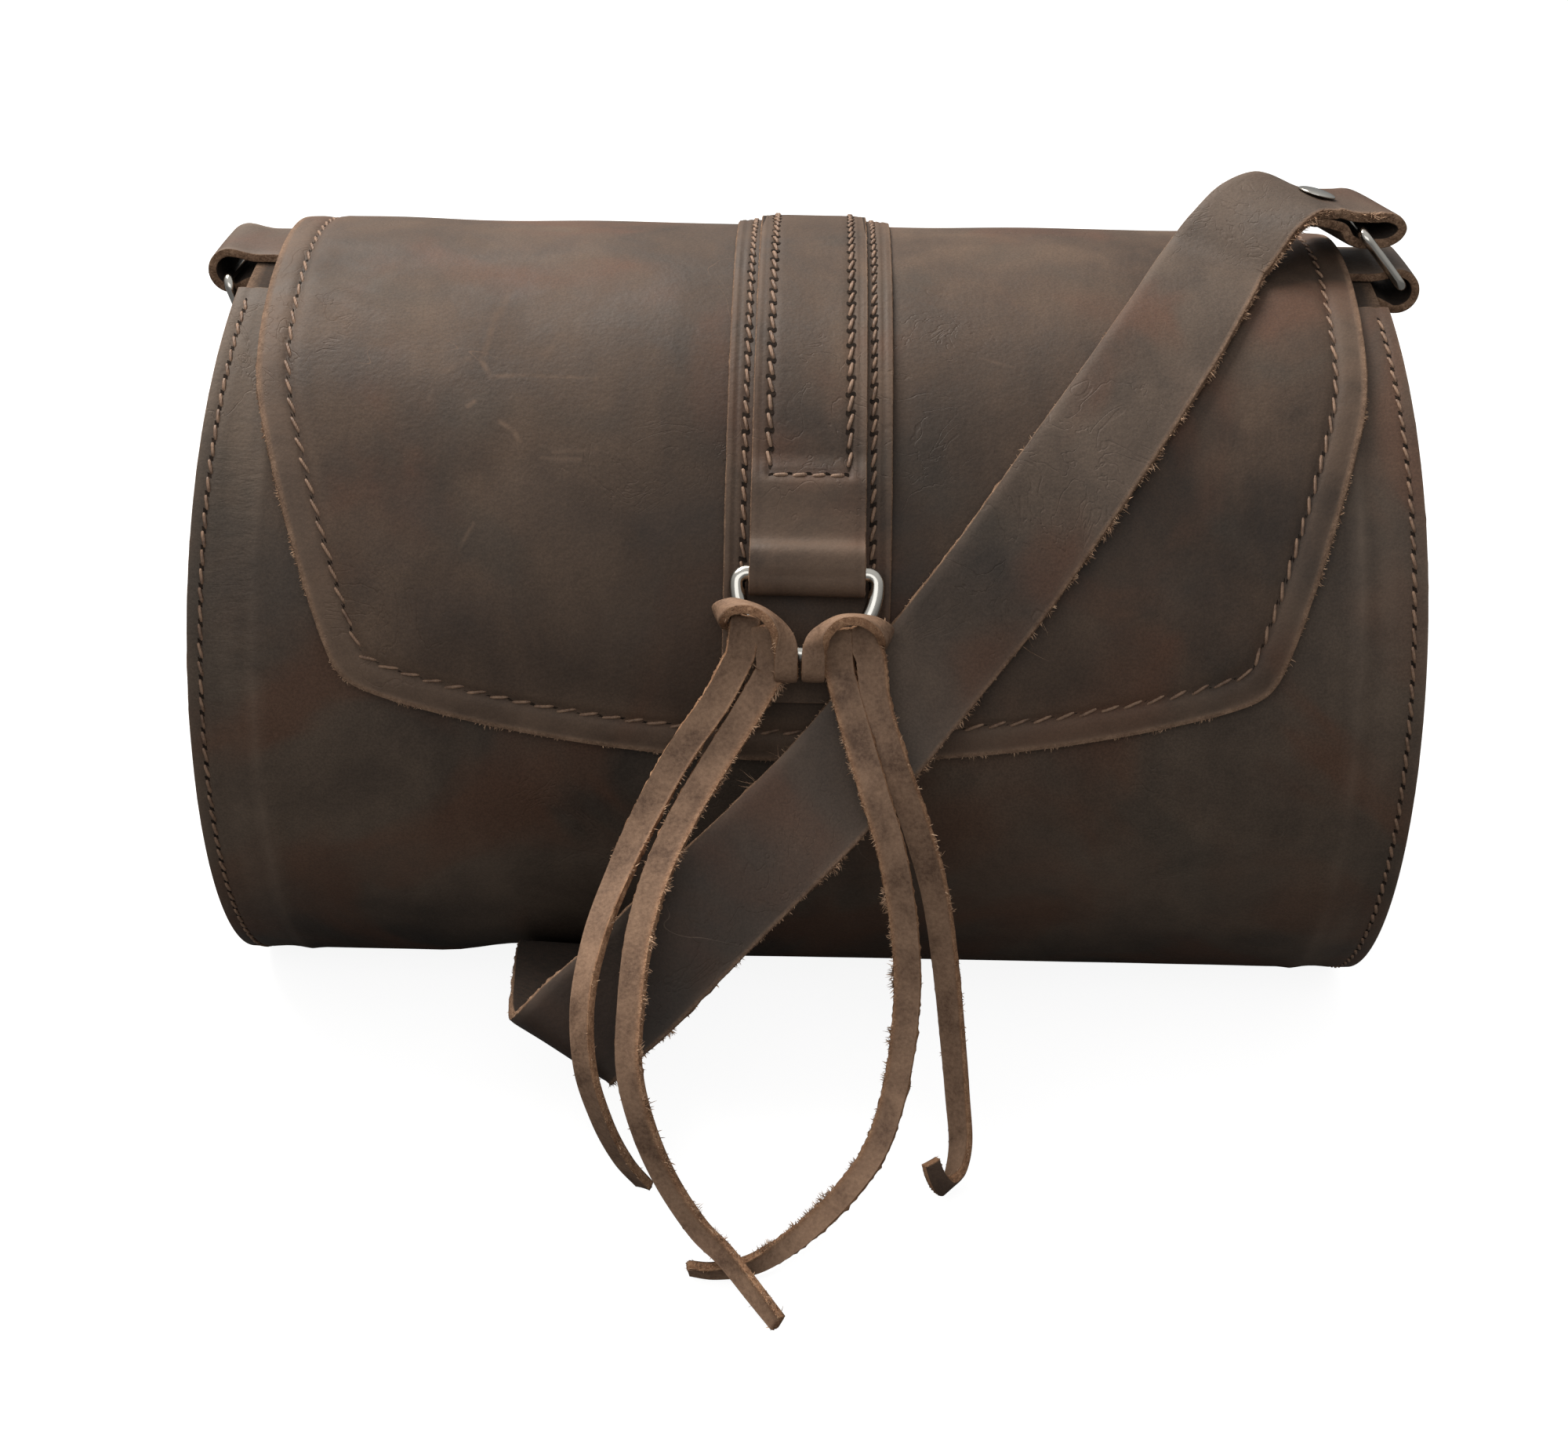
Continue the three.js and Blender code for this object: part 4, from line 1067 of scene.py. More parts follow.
# A stitch's places along it, its thickness there and its height over the leather.
STITCH_SHAPE = (
    (-1, 0.35, -0.3), (-0.85, 0.8, 0.02), (-0.45, 1, 0.22),
    (0.45, 1, 0.22), (0.85, 0.8, 0.02), (1, 0.35, -0.3),
)
STITCH_SIDES = 6
STITCH_STEPS = 8
STITCH_FILL = 0.97
STITCH_FLATTENED = 0.8
STITCH_LEAN = 2.5
STITCH_THICK = 0.4
HOLE_SIDES = 8
HOLE_LONG = 0.85
HOLE_WIDE = 0.62
HOLE_BEYOND = 0.12
HOLE_HEIGHT = 0.07


def stitch_rings(middle, aim, beside, normal, half, size):
    """The points of one stitch, in rings along it."""
    points = []
    for share, wide, height in STITCH_SHAPE:
        centre = middle + aim * half * share + normal * height
        for j in range(STITCH_SIDES):
            turn = rad(360 / STITCH_SIDES * j)
            round_it = beside * math.cos(turn) + normal * math.sin(turn) * STITCH_FLATTENED
            points.append(centre + round_it * size * wide)
    return points


def stitch_hole_shade(centre, aim, beside):
    """The middle of a stitch hole's dark disc, painted shade of the hole, and the points round it."""
    points = [centre]
    for j in range(HOLE_SIDES):
        turn = rad(360 / HOLE_SIDES * j)
        points.append(centre + aim * math.cos(turn) * HOLE_LONG + beside * math.sin(turn) * HOLE_WIDE)
    return points


def stitches(name, points, normals, slot, pitch, slant, thick=STITCH_THICK, seed=1):
    """A row of slanted stitches with a dark disc at both ends, painted shade of the stitch holes, on a line
    of points of a surface.
    """
    line = resampled(np.hstack([points, normals]), pitch / STITCH_STEPS)[0]
    chance = np.random.RandomState(seed)
    true = lengths_along(line[:, :3])
    count = int(true[-1] / pitch)
    thread, thread_faces, dots, dot_faces = [], [], [], []

    def on_line(place, columns):
        return vec(*(np.interp(place, true, line[:, j]) for j in columns))

    for k in range(count):
        place = (k + 0.5) * true[-1] / count
        middle = on_line(place, range(3))
        normal = unit(on_line(place, range(3, 6)))
        forward = unit(on_line(place + 0.5, range(3)) - on_line(place - 0.5, range(3)))
        side = unit(np.cross(normal, forward))
        angle = rad(slant + chance.normal(scale=STITCH_LEAN))
        aim = forward * math.cos(angle) + side * math.sin(angle)
        beside = np.cross(normal, aim)
        half = pitch * STITCH_FILL / 2 * chance.uniform(0.94, 1.05)
        size = thick * chance.uniform(0.92, 1.06)
        first = len(thread)
        thread += stitch_rings(middle, aim, beside, normal, half, size)
        for ring in range(len(STITCH_SHAPE) - 1):
            here = first + ring * STITCH_SIDES
            for j in range(STITCH_SIDES):
                a, b = here + j, here + (j + 1) % STITCH_SIDES
                thread_faces.append((a, b, b + STITCH_SIDES, a + STITCH_SIDES))
        # A dark disc at both ends of the stitch: painted shade of its hole.
        for end in (-1, 1):
            start = len(dots)
            centre = middle + aim * (half + HOLE_BEYOND) * end + normal * HOLE_HEIGHT
            dots += stitch_hole_shade(centre, aim, beside)
            for j in range(HOLE_SIDES):
                dot_faces.append((start, start + 1 + j, start + 1 + (j + 1) % HOLE_SIDES))
    piece(name + "_thread", thread, thread_faces, THREAD, slot)
    piece(name + "_hole_shades", dots, dot_faces, HOLE_SHADES, slot)


# The flap

def flap_half_width(up):
    lower = np.sqrt(np.maximum(up, 0) / FLAP_EDGE_RISE)
    slanted = FLAP_SIDE_X + (up - FLAP_SIDE_UP) / FLAP_SIDE_SLOPE
    corner = soft_min(lower, slanted, FLAP_CORNER)
    return soft_min(corner, FLAP_HALF_WIDTH, FLAP_CORNER / 3)


FLAP_PER_DEGREE = math.radians(1) * FLAP_OUTER
FLAP_LENGTH = (FLAP_BACK - FLAP_LOW) * FLAP_PER_DEGREE


def flap_outline():
    """The flap's cut edge on its right half, from the middle below to the back: x and arc."""
    ups = np.concatenate([np.linspace(0, 1, 60) ** 2 * 30, spaced(30, FLAP_LENGTH, 1.5)[1:]])
    return np.stack([flap_half_width(ups), ups], 1)


FLAP_EDGE = flap_outline()


def inset_line(outline, inset):
    """A line inside the outline, from the middle below to the back."""
    line, along, _ = resampled(outline, 0.8)
    normal = np.stack([-along[:, 1], along[:, 0]], 1)
    line = line + normal * inset
    keep = line[:, 0] > 0
    line = line[keep]
    order = np.argsort(line[:, 1] + line[:, 0] * 0.15)
    return line[order]


def distance_to(line, x, up):
    """How far places are from a line of points."""
    x, up = np.abs(np.asarray(x, float)), np.asarray(up, float)
    best = np.full(x.shape, 1e9)
    for (ax, ay), (bx, by) in zip(line, line[1:]):
        dx, dy = bx - ax, by - ay
        share = np.clip(((x - ax) * dx + (up - ay) * dy) / (dx * dx + dy * dy + 1e-12), 0, 1)
        best = np.minimum(best, np.hypot(x - ax - dx * share, up - ay - dy * share))
    return best


# The flap's relief: its seam's groove, the puffed field inside it, the rolled border, and waves,
# each as a height and how wide it is or where it starts and ends.
FLAP_GROOVE = 0.5
FLAP_GROOVE_WIDTH = 1.0
FLAP_PUFF = 0.42
FLAP_PUFF_RISE = (7.2, 9.6)
FLAP_PUFF_FADE = (14, 45)
FLAP_ROLL = 0.15
FLAP_ROLL_AT = 3.6
FLAP_ROLL_WIDTH = 2.0
FLAP_EDGE_DROP = 0.12
FLAP_EDGE_WIDTH = 0.5
FLAP_WAVES = ((0.3, 70.0, 3), (0.1, 24.0, 4))
FLAP_WAVES_RISE = (0, 12)


def flap_point(x, up):
    """A place on the flap's outer face with its relief."""
    angle = FLAP_LOW + np.asarray(up, float) / FLAP_PER_DEGREE
    away = distance_to(FLAP_EDGE, x, up)
    groove = -FLAP_GROOVE * bell(away - FLAP_SEAM, FLAP_GROOVE_WIDTH)
    puff = FLAP_PUFF * smoothstep(away, *FLAP_PUFF_RISE) * (1 - smoothstep(away, *FLAP_PUFF_FADE))
    roll = FLAP_ROLL * bell(away - FLAP_ROLL_AT, FLAP_ROLL_WIDTH)
    border = roll - FLAP_EDGE_DROP * bell(away, FLAP_EDGE_WIDTH)
    place = on_barrel(x, angle, FLAP_OUTER)
    uneven = uneven_by(place, FLAP_WAVES) * smoothstep(away, *FLAP_WAVES_RISE)
    relief = groove + puff + border + uneven
    return on_barrel(x, angle, FLAP_OUTER + relief)


# The flap's grid: fine rows beside its lower edge and fine columns beside its sides.
FLAP_LOW_ROWS = (0, 0.25, 0.6, 1.1, 1.8, 2.6, 3.4)
FLAP_SIDE_COLUMNS = (0, 0.3, 0.8, 1.6, 2.6, 3.6, 4.6, 5.6, 6.3, 7, 7.7, 8.6, 10, 12)


def add_flap():
    ups = np.concatenate([FLAP_LOW_ROWS, spaced(4.4, 30, 1.1), spaced(30, FLAP_LENGTH, 1.9)[1:]])
    offsets = np.concatenate([FLAP_SIDE_COLUMNS, spaced(14.5, FLAP_HALF_WIDTH, 3.2)])
    shares = (FLAP_HALF_WIDTH - offsets) / FLAP_HALF_WIDTH
    shares = np.concatenate([-shares, shares[-2::-1]])
    half = flap_half_width(ups)
    x = half[:, None] * shares[None, :]
    up = np.repeat(ups[:, None], len(shares), 1)
    away = distance_to(FLAP_EDGE, x, up)
    outer = flap_point(x, up)
    angle = FLAP_LOW + up / FLAP_PER_DEGREE
    inner = on_barrel(x, angle, FLAP_INNER)
    wear_and_highlight = 0.9 * bell(away, 1.3) + 0.5 * (1 - smoothstep(away, 5.6, 7.0)) + 0.25 * bell(away - 8.8, 1.0)
    # A pale band across the flap over the barrel's top, along its top outline: painted highlight where the
    # light falls, put into the wear numbers.
    wear_and_highlight = wear_and_highlight + 0.25 * bell(up - 175, 26) * smoothstep(away, 5, 20)
    rim = 0.6 * (1 - smoothstep(away, 0.4, 1.5))
    # A darker lower middle on the flap, inside its seam.
    darkening = 0.5 * bell(x + 8, 55) * (1 - smoothstep(up, 60, 125)) * smoothstep(away, 6, 14)
    uv = np.stack([x, up], -1)
    made = wall_piece("flap_leather", outer, inner, FLAP_LEATHER, "flap_leather", wear_and_highlight, uv, 0.25, 5, rim, darkening)
    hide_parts("flap")


def flap_line(inset):
    """A line at an inset from the flap's edge, over both halves, with its normals."""
    line = inset_line(FLAP_EDGE, inset)
    line = line[(line[:, 1] > 0) & (line[:, 1] < FLAP_LENGTH - FLAP_SEAM_STOP)]
    both = np.vstack([line[::-1] * vec(-1, 1), line])
    points = flap_point(both[:, 0], both[:, 1])
    normals = outwards_at(FLAP_LOW + both[:, 1] / FLAP_PER_DEGREE)
    return points, normals


FLAP_FIBRE_ROWS = 150


def flap_fibres():
    line, _, _ = resampled(FLAP_EDGE, 1.2)
    for side, label in ((-1, "left"), (1, "right")):
        x, up = line[:, 0] * side, line[:, 1]
        angle = FLAP_LOW + up / FLAP_PER_DEGREE
        roots = on_barrel(x, angle, FLAP_OUTER - FLAP_WALL / 2)
        flow = unit(np.gradient(roots, axis=0))
        normals = outwards_at(angle)
        outs = unit(np.cross(flow, normals)) * side
        low = slice(0, FLAP_FIBRE_ROWS)
        fibres(
            f"flap_{label}_fibres", roots[low], outs[low], normals[low], "flap_leather",
            per_mm=11.0, length=(0.35, 1.2), width=0.24, seed=60 + side,
        )


add_flap()
flap_seam, flap_seam_normals = flap_line(FLAP_SEAM)
stitches("flap_seam", flap_seam, flap_seam_normals, "flap_leather", FLAP_PITCH, slant=15.0, seed=8)
flap_fibres()


# The body

CREASE = END_INSET
BODY_LOWEST = 0.02
# The body's relief, in the same way: the rim seam's groove, the crease over the end panel's bend
# with the hollow beside it, and the rim's rounded edge.
RIM_GROOVE = 0.32
RIM_GROOVE_WIDTH = 0.9
CREASE_HEIGHT = 0.35
CREASE_WIDTH = 1.6
HOLLOW = 0.3
HOLLOW_RISE = (3.5, 8)
HOLLOW_FADE = (9, 14)
RIM_DROP = 0.12
RIM_DROP_WIDTH = 1.4
BODY_WAVES = ((0.45, 95.0, 11), (0.12, 26.0, 12))
BODY_WAVES_RISE = (3, 22)
BODY_LOW_RISE = (1.0, 22.0)
# The columns beside a rim, in millimetres from it.
RIM_COLUMNS = (0, 0.3, 0.9, 1.6, 2.3, 3, 3.7, 4.6, 6, 8, 10, 12, 13.2, 14.6, 16, 18, 21)


def body_point(x_share, angle):
    """A place on the body's outer face with its relief; x_share is a share of the rim's x."""
    rim = rim_at(angle)
    x = x_share * rim
    away = rim - np.abs(x)
    groove = -RIM_GROOVE * bell(away - RIM_SEAM, RIM_GROOVE_WIDTH)
    hollow = HOLLOW * smoothstep(away, *HOLLOW_RISE) * (1 - smoothstep(away, *HOLLOW_FADE))
    crease = CREASE_HEIGHT * bell(away - CREASE, CREASE_WIDTH) - hollow
    scallop = -RIM_DROP * bell(away, RIM_DROP_WIDTH)
    place = on_hull(x, angle, 0.0)
    low = smoothstep(place[..., 2], *BODY_LOW_RISE)
    uneven = uneven_by(place, BODY_WAVES) * smoothstep(away, *BODY_WAVES_RISE) * low
    point = on_hull(x, angle, -(groove + crease + scallop + uneven))
    point[..., 2] = point[..., 2] + lift_at(x_share * HALF_WIDTH, place[..., 2])
    point[..., 2] = np.maximum(point[..., 2], BODY_LOWEST)
    return point


def hull_normal(angle):
    a = rad(np.asarray(angle, float))
    return np.stack([a * 0, -np.cos(a), np.sin(a)], -1)


def body_shares():
    offsets = np.concatenate([RIM_COLUMNS, spaced(25, HALF_WIDTH, 4.5)])
    shares = (HALF_WIDTH - offsets) / HALF_WIDTH
    return np.concatenate([-shares, shares[-2::-1]])


def add_body():
    front = np.concatenate([LIP - np.array([0, 0.2, 0.6, 1.2]), spaced(70, -90, 1.6)])
    back = np.concatenate([spaced(270, 116.5, 1.8), BACK + np.array([0.9, 0.4, 0.15, 0])])
    angles = np.concatenate([front, back])
    shares = body_shares()
    grid_share = np.repeat(shares[None, :], len(angles), 0)
    grid_angle = np.repeat(angles[:, None], len(shares), 1)
    outer = body_point(grid_share, grid_angle)
    normals = hull_normal(grid_angle)
    inner = outer - normals * WALL
    rim = rim_at(grid_angle)
    away = rim * (1 - np.abs(grid_share))
    lengths = np.repeat(lengths_along(outer[:, len(shares) // 2])[:, None], len(shares), 1)
    wear_and_highlight = 0.5 * bell(away, 1.0) + 0.85 * bell(away - CREASE, 1.5) + 0.4 * bell(away - 9.0, 1.6)
    wear_and_highlight = wear_and_highlight + 0.2 * (1 - smoothstep(away, 12, 15))
    # A paler band across the body's lower front, put into the wear numbers.
    low_front = 0.3 * bell(np.abs(lengths - 152.0), 16.0) * smoothstep(away, 8, 40)
    wear_and_highlight = wear_and_highlight * (0.75 + 0.45 * waves(outer, 45.0, 31)) + low_front
    uv = np.stack([grid_share * HALF_WIDTH, lengths], -1)
    wear_and_highlight = np.clip(wear_and_highlight, 0, 1)
    made = wall_piece("body_leather", outer, inner, BAG_LEATHER, "bag_leather", wear_and_highlight, uv, 0.15, 6)
    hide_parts("body_panel")


def rim_seam(side, label):
    """The stitches beside a rim: outside on the body, and inside on the end panel's flange."""
    front = spaced(LIP - 3, -90, 1.5)
    back = spaced(270, BACK + 2, 1.5)
    for angles, where in ((front, "front"), (back, "back")):
        turned = 9.5 * smoothstep(angles, 72, 96) if where == "front" else 0
        share = side * (1 - (RIM_SEAM + turned) / rim_at(angles))
        stitches(
            f"rim_{label}_{where}", body_point(share, angles), hull_normal(angles), "bag_leather",
            RIM_PITCH, slant=13.0, seed=70 + side,
        )
    angles = spaced(-90, 270, 1.5)
    inside = on_hull(side * (rim_at(angles) - RIM_SEAM), angles, WALL + CLEAR + END_WALL)
    stitches(
        f"flange_{label}", inside, -hull_normal(angles), "bag_leather",
        RIM_PITCH, slant=13.0, seed=74 + side,
    )


DISC_DEPTHS = (84, 70, 55, 40, 28, 20, 14, 10.5, 8.4)


def end_profile():
    """The end panel's section, from the middle of its outer side round its cut edge and back:
    share of the way from the bend to the flange's edge, x from the disc, depth, cut, flesh."""
    top = WALL + CLEAR + END_WALL

    def bend(radius, low, high, count, flesh):
        turns = rad(np.linspace(low, high, count))
        return [
            (0, END_BEND - radius * math.cos(t), top + END_BEND - radius * math.sin(t), 0, flesh)
            for t in turns
        ]

    rows = [(0, 0.9 * (1 - bell(depth - 7.3, 30)), depth, 0, 0) for depth in DISC_DEPTHS]
    rows += bend(END_BEND, 0, 90, 8, 0)
    for share in (0.25, 0.5, 0.7, 0.85, 0.95):
        rows.append((share, END_BEND, top - 0.25 * math.exp(-((share - 0.73) / 0.08) ** 2), 0, 0))
    rows.append((1, END_BEND, top, RAW_OUTSIDE, 0))
    rows += [(1, END_BEND + bulge, top - END_WALL * share, 1, 0) for share, bulge in CUT_EDGE]
    rows.append((1, END_BEND, top - END_WALL, RAW_INSIDE, 1))
    rows.append((0.5, END_BEND, top - END_WALL, 0, 1))
    rows += bend(END_BEND + END_WALL, 90, 0, 6, 1)
    rows += [(0, -END_WALL, depth, 0, 1) for depth in (30, 84)]
    return rows


def add_end_panel(side, label):
    angles = np.linspace(-90, 270, 181)[:-1]
    disc = HALF_WIDTH - END_INSET
    edge = rim_at(angles) - END_EDGE_STEP
    rows, raw, flesh, wear_and_highlight = [], [], [], []
    for share, x, depth, cut, under in end_profile():
        place = disc + x + share * (edge - disc - END_BEND)
        ring = on_hull(side * place, angles, min(depth, BASE_ROLL - 1))
        if depth > BASE_ROLL - 1:
            middle = vec(0, 0, AXIS_HEIGHT)
            flat = on_hull(side * place, angles, BASE_ROLL - 1)
            keep = (RADIUS - depth) / ROLL_REACH
            ring = middle + (flat - middle) * vec(0, keep, keep) + np.outer(side * place, vec(1, 0, 0))
            ring[:, 0] = side * place
        swell = 0.5 * waves(ring, 60.0, 51 + side) * smoothstep(depth, 6, 20)
        ring[:, 0] += side * swell * (under == 0)
        rows.append(ring)
        raw += [cut] * len(angles)
        flesh += [under] * len(angles)
        wear_and_highlight += [0.5 * bell(depth - 5.2, 1.3) + 0.25 * bell(depth - 30, 14)] * len(angles)
    rings = np.array(rows)
    points = rings.reshape(-1, 3)
    faces = ring_faces(len(rings), len(angles), False)
    front = vec(side * (disc + 0.9), 0, AXIS_HEIGHT)
    rear = vec(side * (disc - END_WALL), 0, AXIS_HEIGHT)
    points = np.vstack([points, front, rear])
    last = (len(rings) - 1) * len(angles)
    for j in range(len(angles)):
        k = (j + 1) % len(angles)
        faces.append((len(points) - 2, k, j))
        faces.append((len(points) - 1, last + j, last + k))
    values = {"raw": raw + [0, 0], "flesh": flesh + [0, 1], "wear_and_highlight": wear_and_highlight + [0, 0]}
    name = f"end_panel_{label}"
    made = piece(name + "_leather", points, facing_out(points, faces), BAG_LEATHER, "bag_leather", values)
    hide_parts(name)


add_body()
for end_side, end_label in ((-1, "left"), (1, "right")):
    rim_seam(end_side, end_label)
    add_end_panel(end_side, end_label)


# The band and the tab down the flap's middle

# How far they are pressed down over the bag's top, and what moves them off the flap's scratches.
BAND_PRESSED = 0.7
TAB_PRESSED = 1.3
OFF_SCRATCHES = vec(300, 0)
BAND_SHARES = (0, 0.1, 0.2, 0.29, 0.345, 0.368, 0.389, 0.41, 0.424, 0.437, 0.45, 0.464, 0.478, 0.49, 0.5)
TAB_SHARES = (0, 0.09, 0.18, 0.26, 0.31, 0.337, 0.356, 0.375, 0.4, 0.425, 0.445, 0.462, 0.478, 0.49, 0.5)


def both_ways(shares):
    return np.array([-s for s in shares[:0:-1]] + list(shares))


def pressed(angles):
    """How far the band and the tab are pressed down over the bag's top, as a share."""
    return smoothstep(angles, 45, 92)


def sewn_strip(name, node, points, sides, width, thickness, shares, relief, wear_and_highlight, seed):
    """A strip that is sewn on: its relief and its wear, with a painted highlight on the tab, are given for
    its whole grid.
    """
    along = directions(points)
    sides = squared(sides, along)
    up = np.cross(along, sides)
    middle = points[:, None, :] + shares[None, :, None] * width * sides[:, None, :]
    uneven = 0.08 * waves(middle, 25.0, seed)
    outer = middle + up[:, None, :] * (thickness / 2 + relief + uneven)[..., None]
    inner = middle - up[:, None, :] * (thickness / 2)
    uv = np.stack(np.broadcast_arrays(shares[None, :] * width, lengths_along(points)[:, None]), -1)
    made = wall_piece(name, outer, inner, FLAP_LEATHER, "flap_leather", wear_and_highlight, uv + OFF_SCRATCHES, 0.12, seed)
    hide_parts(node)


def add_band():
    low = BAND_LOW + np.array([0, 0.15, 0.4, 0.8])
    angles = np.concatenate([low, spaced(BAND_LOW + 1.4, FLAP_BACK, 1.2)])
    points = on_barrel(0, angles, (BAND_INNER + BAND_OUTER) / 2)
    sides = np.tile(vec(-1, 0, 0), (len(points), 1))
    shares = both_ways(BAND_SHARES)
    beside = (0.5 - np.abs(shares)) * BAND_WIDTH
    seam = BAND_WIDTH / 2 - BAND_SEAM
    row = -0.3 * bell(beside - seam, 0.75) - 0.22 * bell(beside - 1.9, 0.45)
    row = row + 0.08 * bell(beside - 1.0, 0.5)
    relief = row[None, :] - BAND_PRESSED * pressed(angles)[:, None] * (1 + 0.5 * bell(beside, 1.5)[None, :])
    wear_and_highlight = np.tile(0.6 * bell(beside - 0.5, 0.8) + 0.3 * bell(beside - 2.9, 0.6), (len(points), 1))
    sewn_strip(
        "flap_band_leather", "flap_band", points, sides, BAND_WIDTH, BAND_WALL, shares, relief, wear_and_highlight, 81
    )
    sewn = angles[4:-4]
    for side, label in ((-1, "left"), (1, "right")):
        line = on_barrel(side * BAND_SEAM, sewn, BAND_OUTER - 0.2 - BAND_PRESSED * pressed(sewn))
        stitches(
            f"band_{label}_seam", line, outwards_at(sewn), "flap_leather", BAND_PITCH,
            slant=-13.0 * side, thick=0.42, seed=83 + side,
        )


def tab_path():
    upper = TAB_LOW + TAB_WALL + CLEAR
    per_mm = 1 / (rad(1) * RING_RADIUS)
    fold = RING_WIRE / 2 + CLEAR + TAB_WALL / 2
    low = RING_ANGLE - TAB_DROP * per_mm
    over = [(angle, TAB_LOW) for angle in spaced(FLAP_BACK, TAB_UNDER_END + 6, 2.0)]
    down = [
        (TAB_UNDER_END + 4, TAB_LOW), (TAB_UNDER_END + 1.4, upper - 0.5), (TAB_UNDER_END, upper),
        (RING_ANGLE + 7, upper), (RING_ANGLE + 4, upper + 1), (low + 3.2, RING_RADIUS + fold),
    ]
    line = [on_barrel(0, angle, radius) for angle, radius in over + down]
    middle = on_barrel(0, low, RING_RADIUS)
    outwards = outwards_at(low)
    downwards = np.cross(outwards, vec(-1, 0, 0))
    line += [middle + downwards * u + outwards * v for u, v in arc(0, 0, fold, 90, -90, 10)]
    line += [on_barrel(0, angle, TAB_LOW) for angle in spaced(low + 2, TAB_UNDER_END, 2.0)]
    smooth = spline(line, len(line) * 5)
    return resampled(smooth, 0.9)[0]


def add_tab():
    points = tab_path()
    angles = np.degrees(np.arctan2(points[:, 2] - AXIS_HEIGHT, -points[:, 1]))
    upper = np.arange(len(points)) < np.argmax(angles < RING_ANGLE)
    sides = np.tile(vec(1, 0, 0), (len(points), 1))
    shares = both_ways(TAB_SHARES)
    beside = (0.5 - np.abs(shares)) * TAB_WIDTH
    sewn = (smoothstep(angles, TAB_SEAM_END - 0.6, TAB_SEAM_END) * upper)[:, None]
    seam = TAB_WIDTH / 2 - TAB_SEAM
    groove = -0.34 * bell(beside - seam, 0.8)[None, :] * sewn
    inside = smoothstep(beside, seam - 0.5, seam)[None, :]
    reach = (angles - TAB_SEAM_END) * math.radians(1) * TAB_LOW
    across = -0.34 * (bell(reach, 0.8) * upper)[:, None] * inside
    line = -0.2 * bell(beside - 1.6, 0.4)[None, :] * sewn
    puff = 0.25 * smoothstep(beside, 0, 5)[None, :] * (1 - sewn) * upper[:, None]
    down = TAB_PRESSED * (pressed(angles) * upper)[:, None]
    relief = groove + across + line + puff - down * (1 + 0.3 * bell(beside, 1.2)[None, :])
    wear_and_highlight = 0.6 * bell(beside - 0.4, 0.8)[None, :] + 0.25 * bell(beside - 2.6, 0.6)[None, :] * sewn
    # The tab's loose stretch below its seam, paler across its width: painted highlight on its bulge, put into
    # the wear numbers.
    wear_and_highlight = wear_and_highlight + 0.6 * smoothstep(beside, 0, 3)[None, :] * (1 - sewn)
    sewn_strip("flap_tab_leather", "flap_tab", points, sides, TAB_WIDTH, TAB_WALL, shares, relief, wear_and_highlight, 91)
    top = TAB_LOW + TAB_WALL / 2 - 0.12
    for side, label in ((-1, "left"), (1, "right")):
        rows = spaced(TAB_SEAM_END + 1.2, FLAP_BACK - 4, 1.2)
        raised = 1.7 * (1 - smoothstep(rows, TAB_SEAM_END - 0.5, TAB_SEAM_END + 3.2))
        seat = top + raised - TAB_PRESSED * pressed(rows)
        stitches(
            f"tab_{label}_seam", on_barrel(side * TAB_SEAM, rows, seat), outwards_at(rows), "flap_leather",
            TAB_PITCH, slant=-13.0 * side, thick=0.45, seed=93 + side,
        )
    x = spaced(-TAB_SEAM + 0.6, TAB_SEAM - 0.6, 1.0)
    row = on_barrel(x, TAB_SEAM_END, top + 1.3)
    normals = np.tile(outwards_at(TAB_SEAM_END), (len(x), 1))
    stitches("tab_end_seam", row, normals, "flap_leather", 3.5, slant=8.0, thick=0.45, seed=97)


add_band()
add_tab()


# Metal

CORNER_STEPS = 8
RING_STEPS = 56
RING_FACETS = 20
SIDE_FACETS = 16
SIDE_MID_FACETS = 14


def add_flap_ring():
    half, corner = RING_HALF, RING_CORNER
    line = [
        *arc(corner - half, corner, corner, 180, 270, CORNER_STEPS),
        *arc(half - corner, corner, corner, -90, 0, CORNER_STEPS),
        *arc(0, corner, half, 0, 180, RING_STEPS)[1:-1],
    ]
    points = [in_ring_plane(u, v, 0) for u, v in line]
    rings = tube(points, RING_WIRE / 2, RING_FACETS, RING_OUT)
    made = piece("flap_ring_metal", *closed_tube(rings), METAL, "nickel")
    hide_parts("flap_ring")


SIDE_RINGS = {
    "left": {"side": -1, "seat": (0.3, -1.5), "direction": (-0.33, -0.944)},
    "right": {"side": 1, "seat": (0.6, 1.4), "direction": (-0.638, 0.77)},
}


def on_side_ring(ring, along, y=0.0):
    x = LOOP_X + ring["seat"][0] + ring["direction"][0] * along
    z = LOOP_Z + ring["seat"][1] + ring["direction"][1] * along
    return vec(ring["side"] * x, y, z)


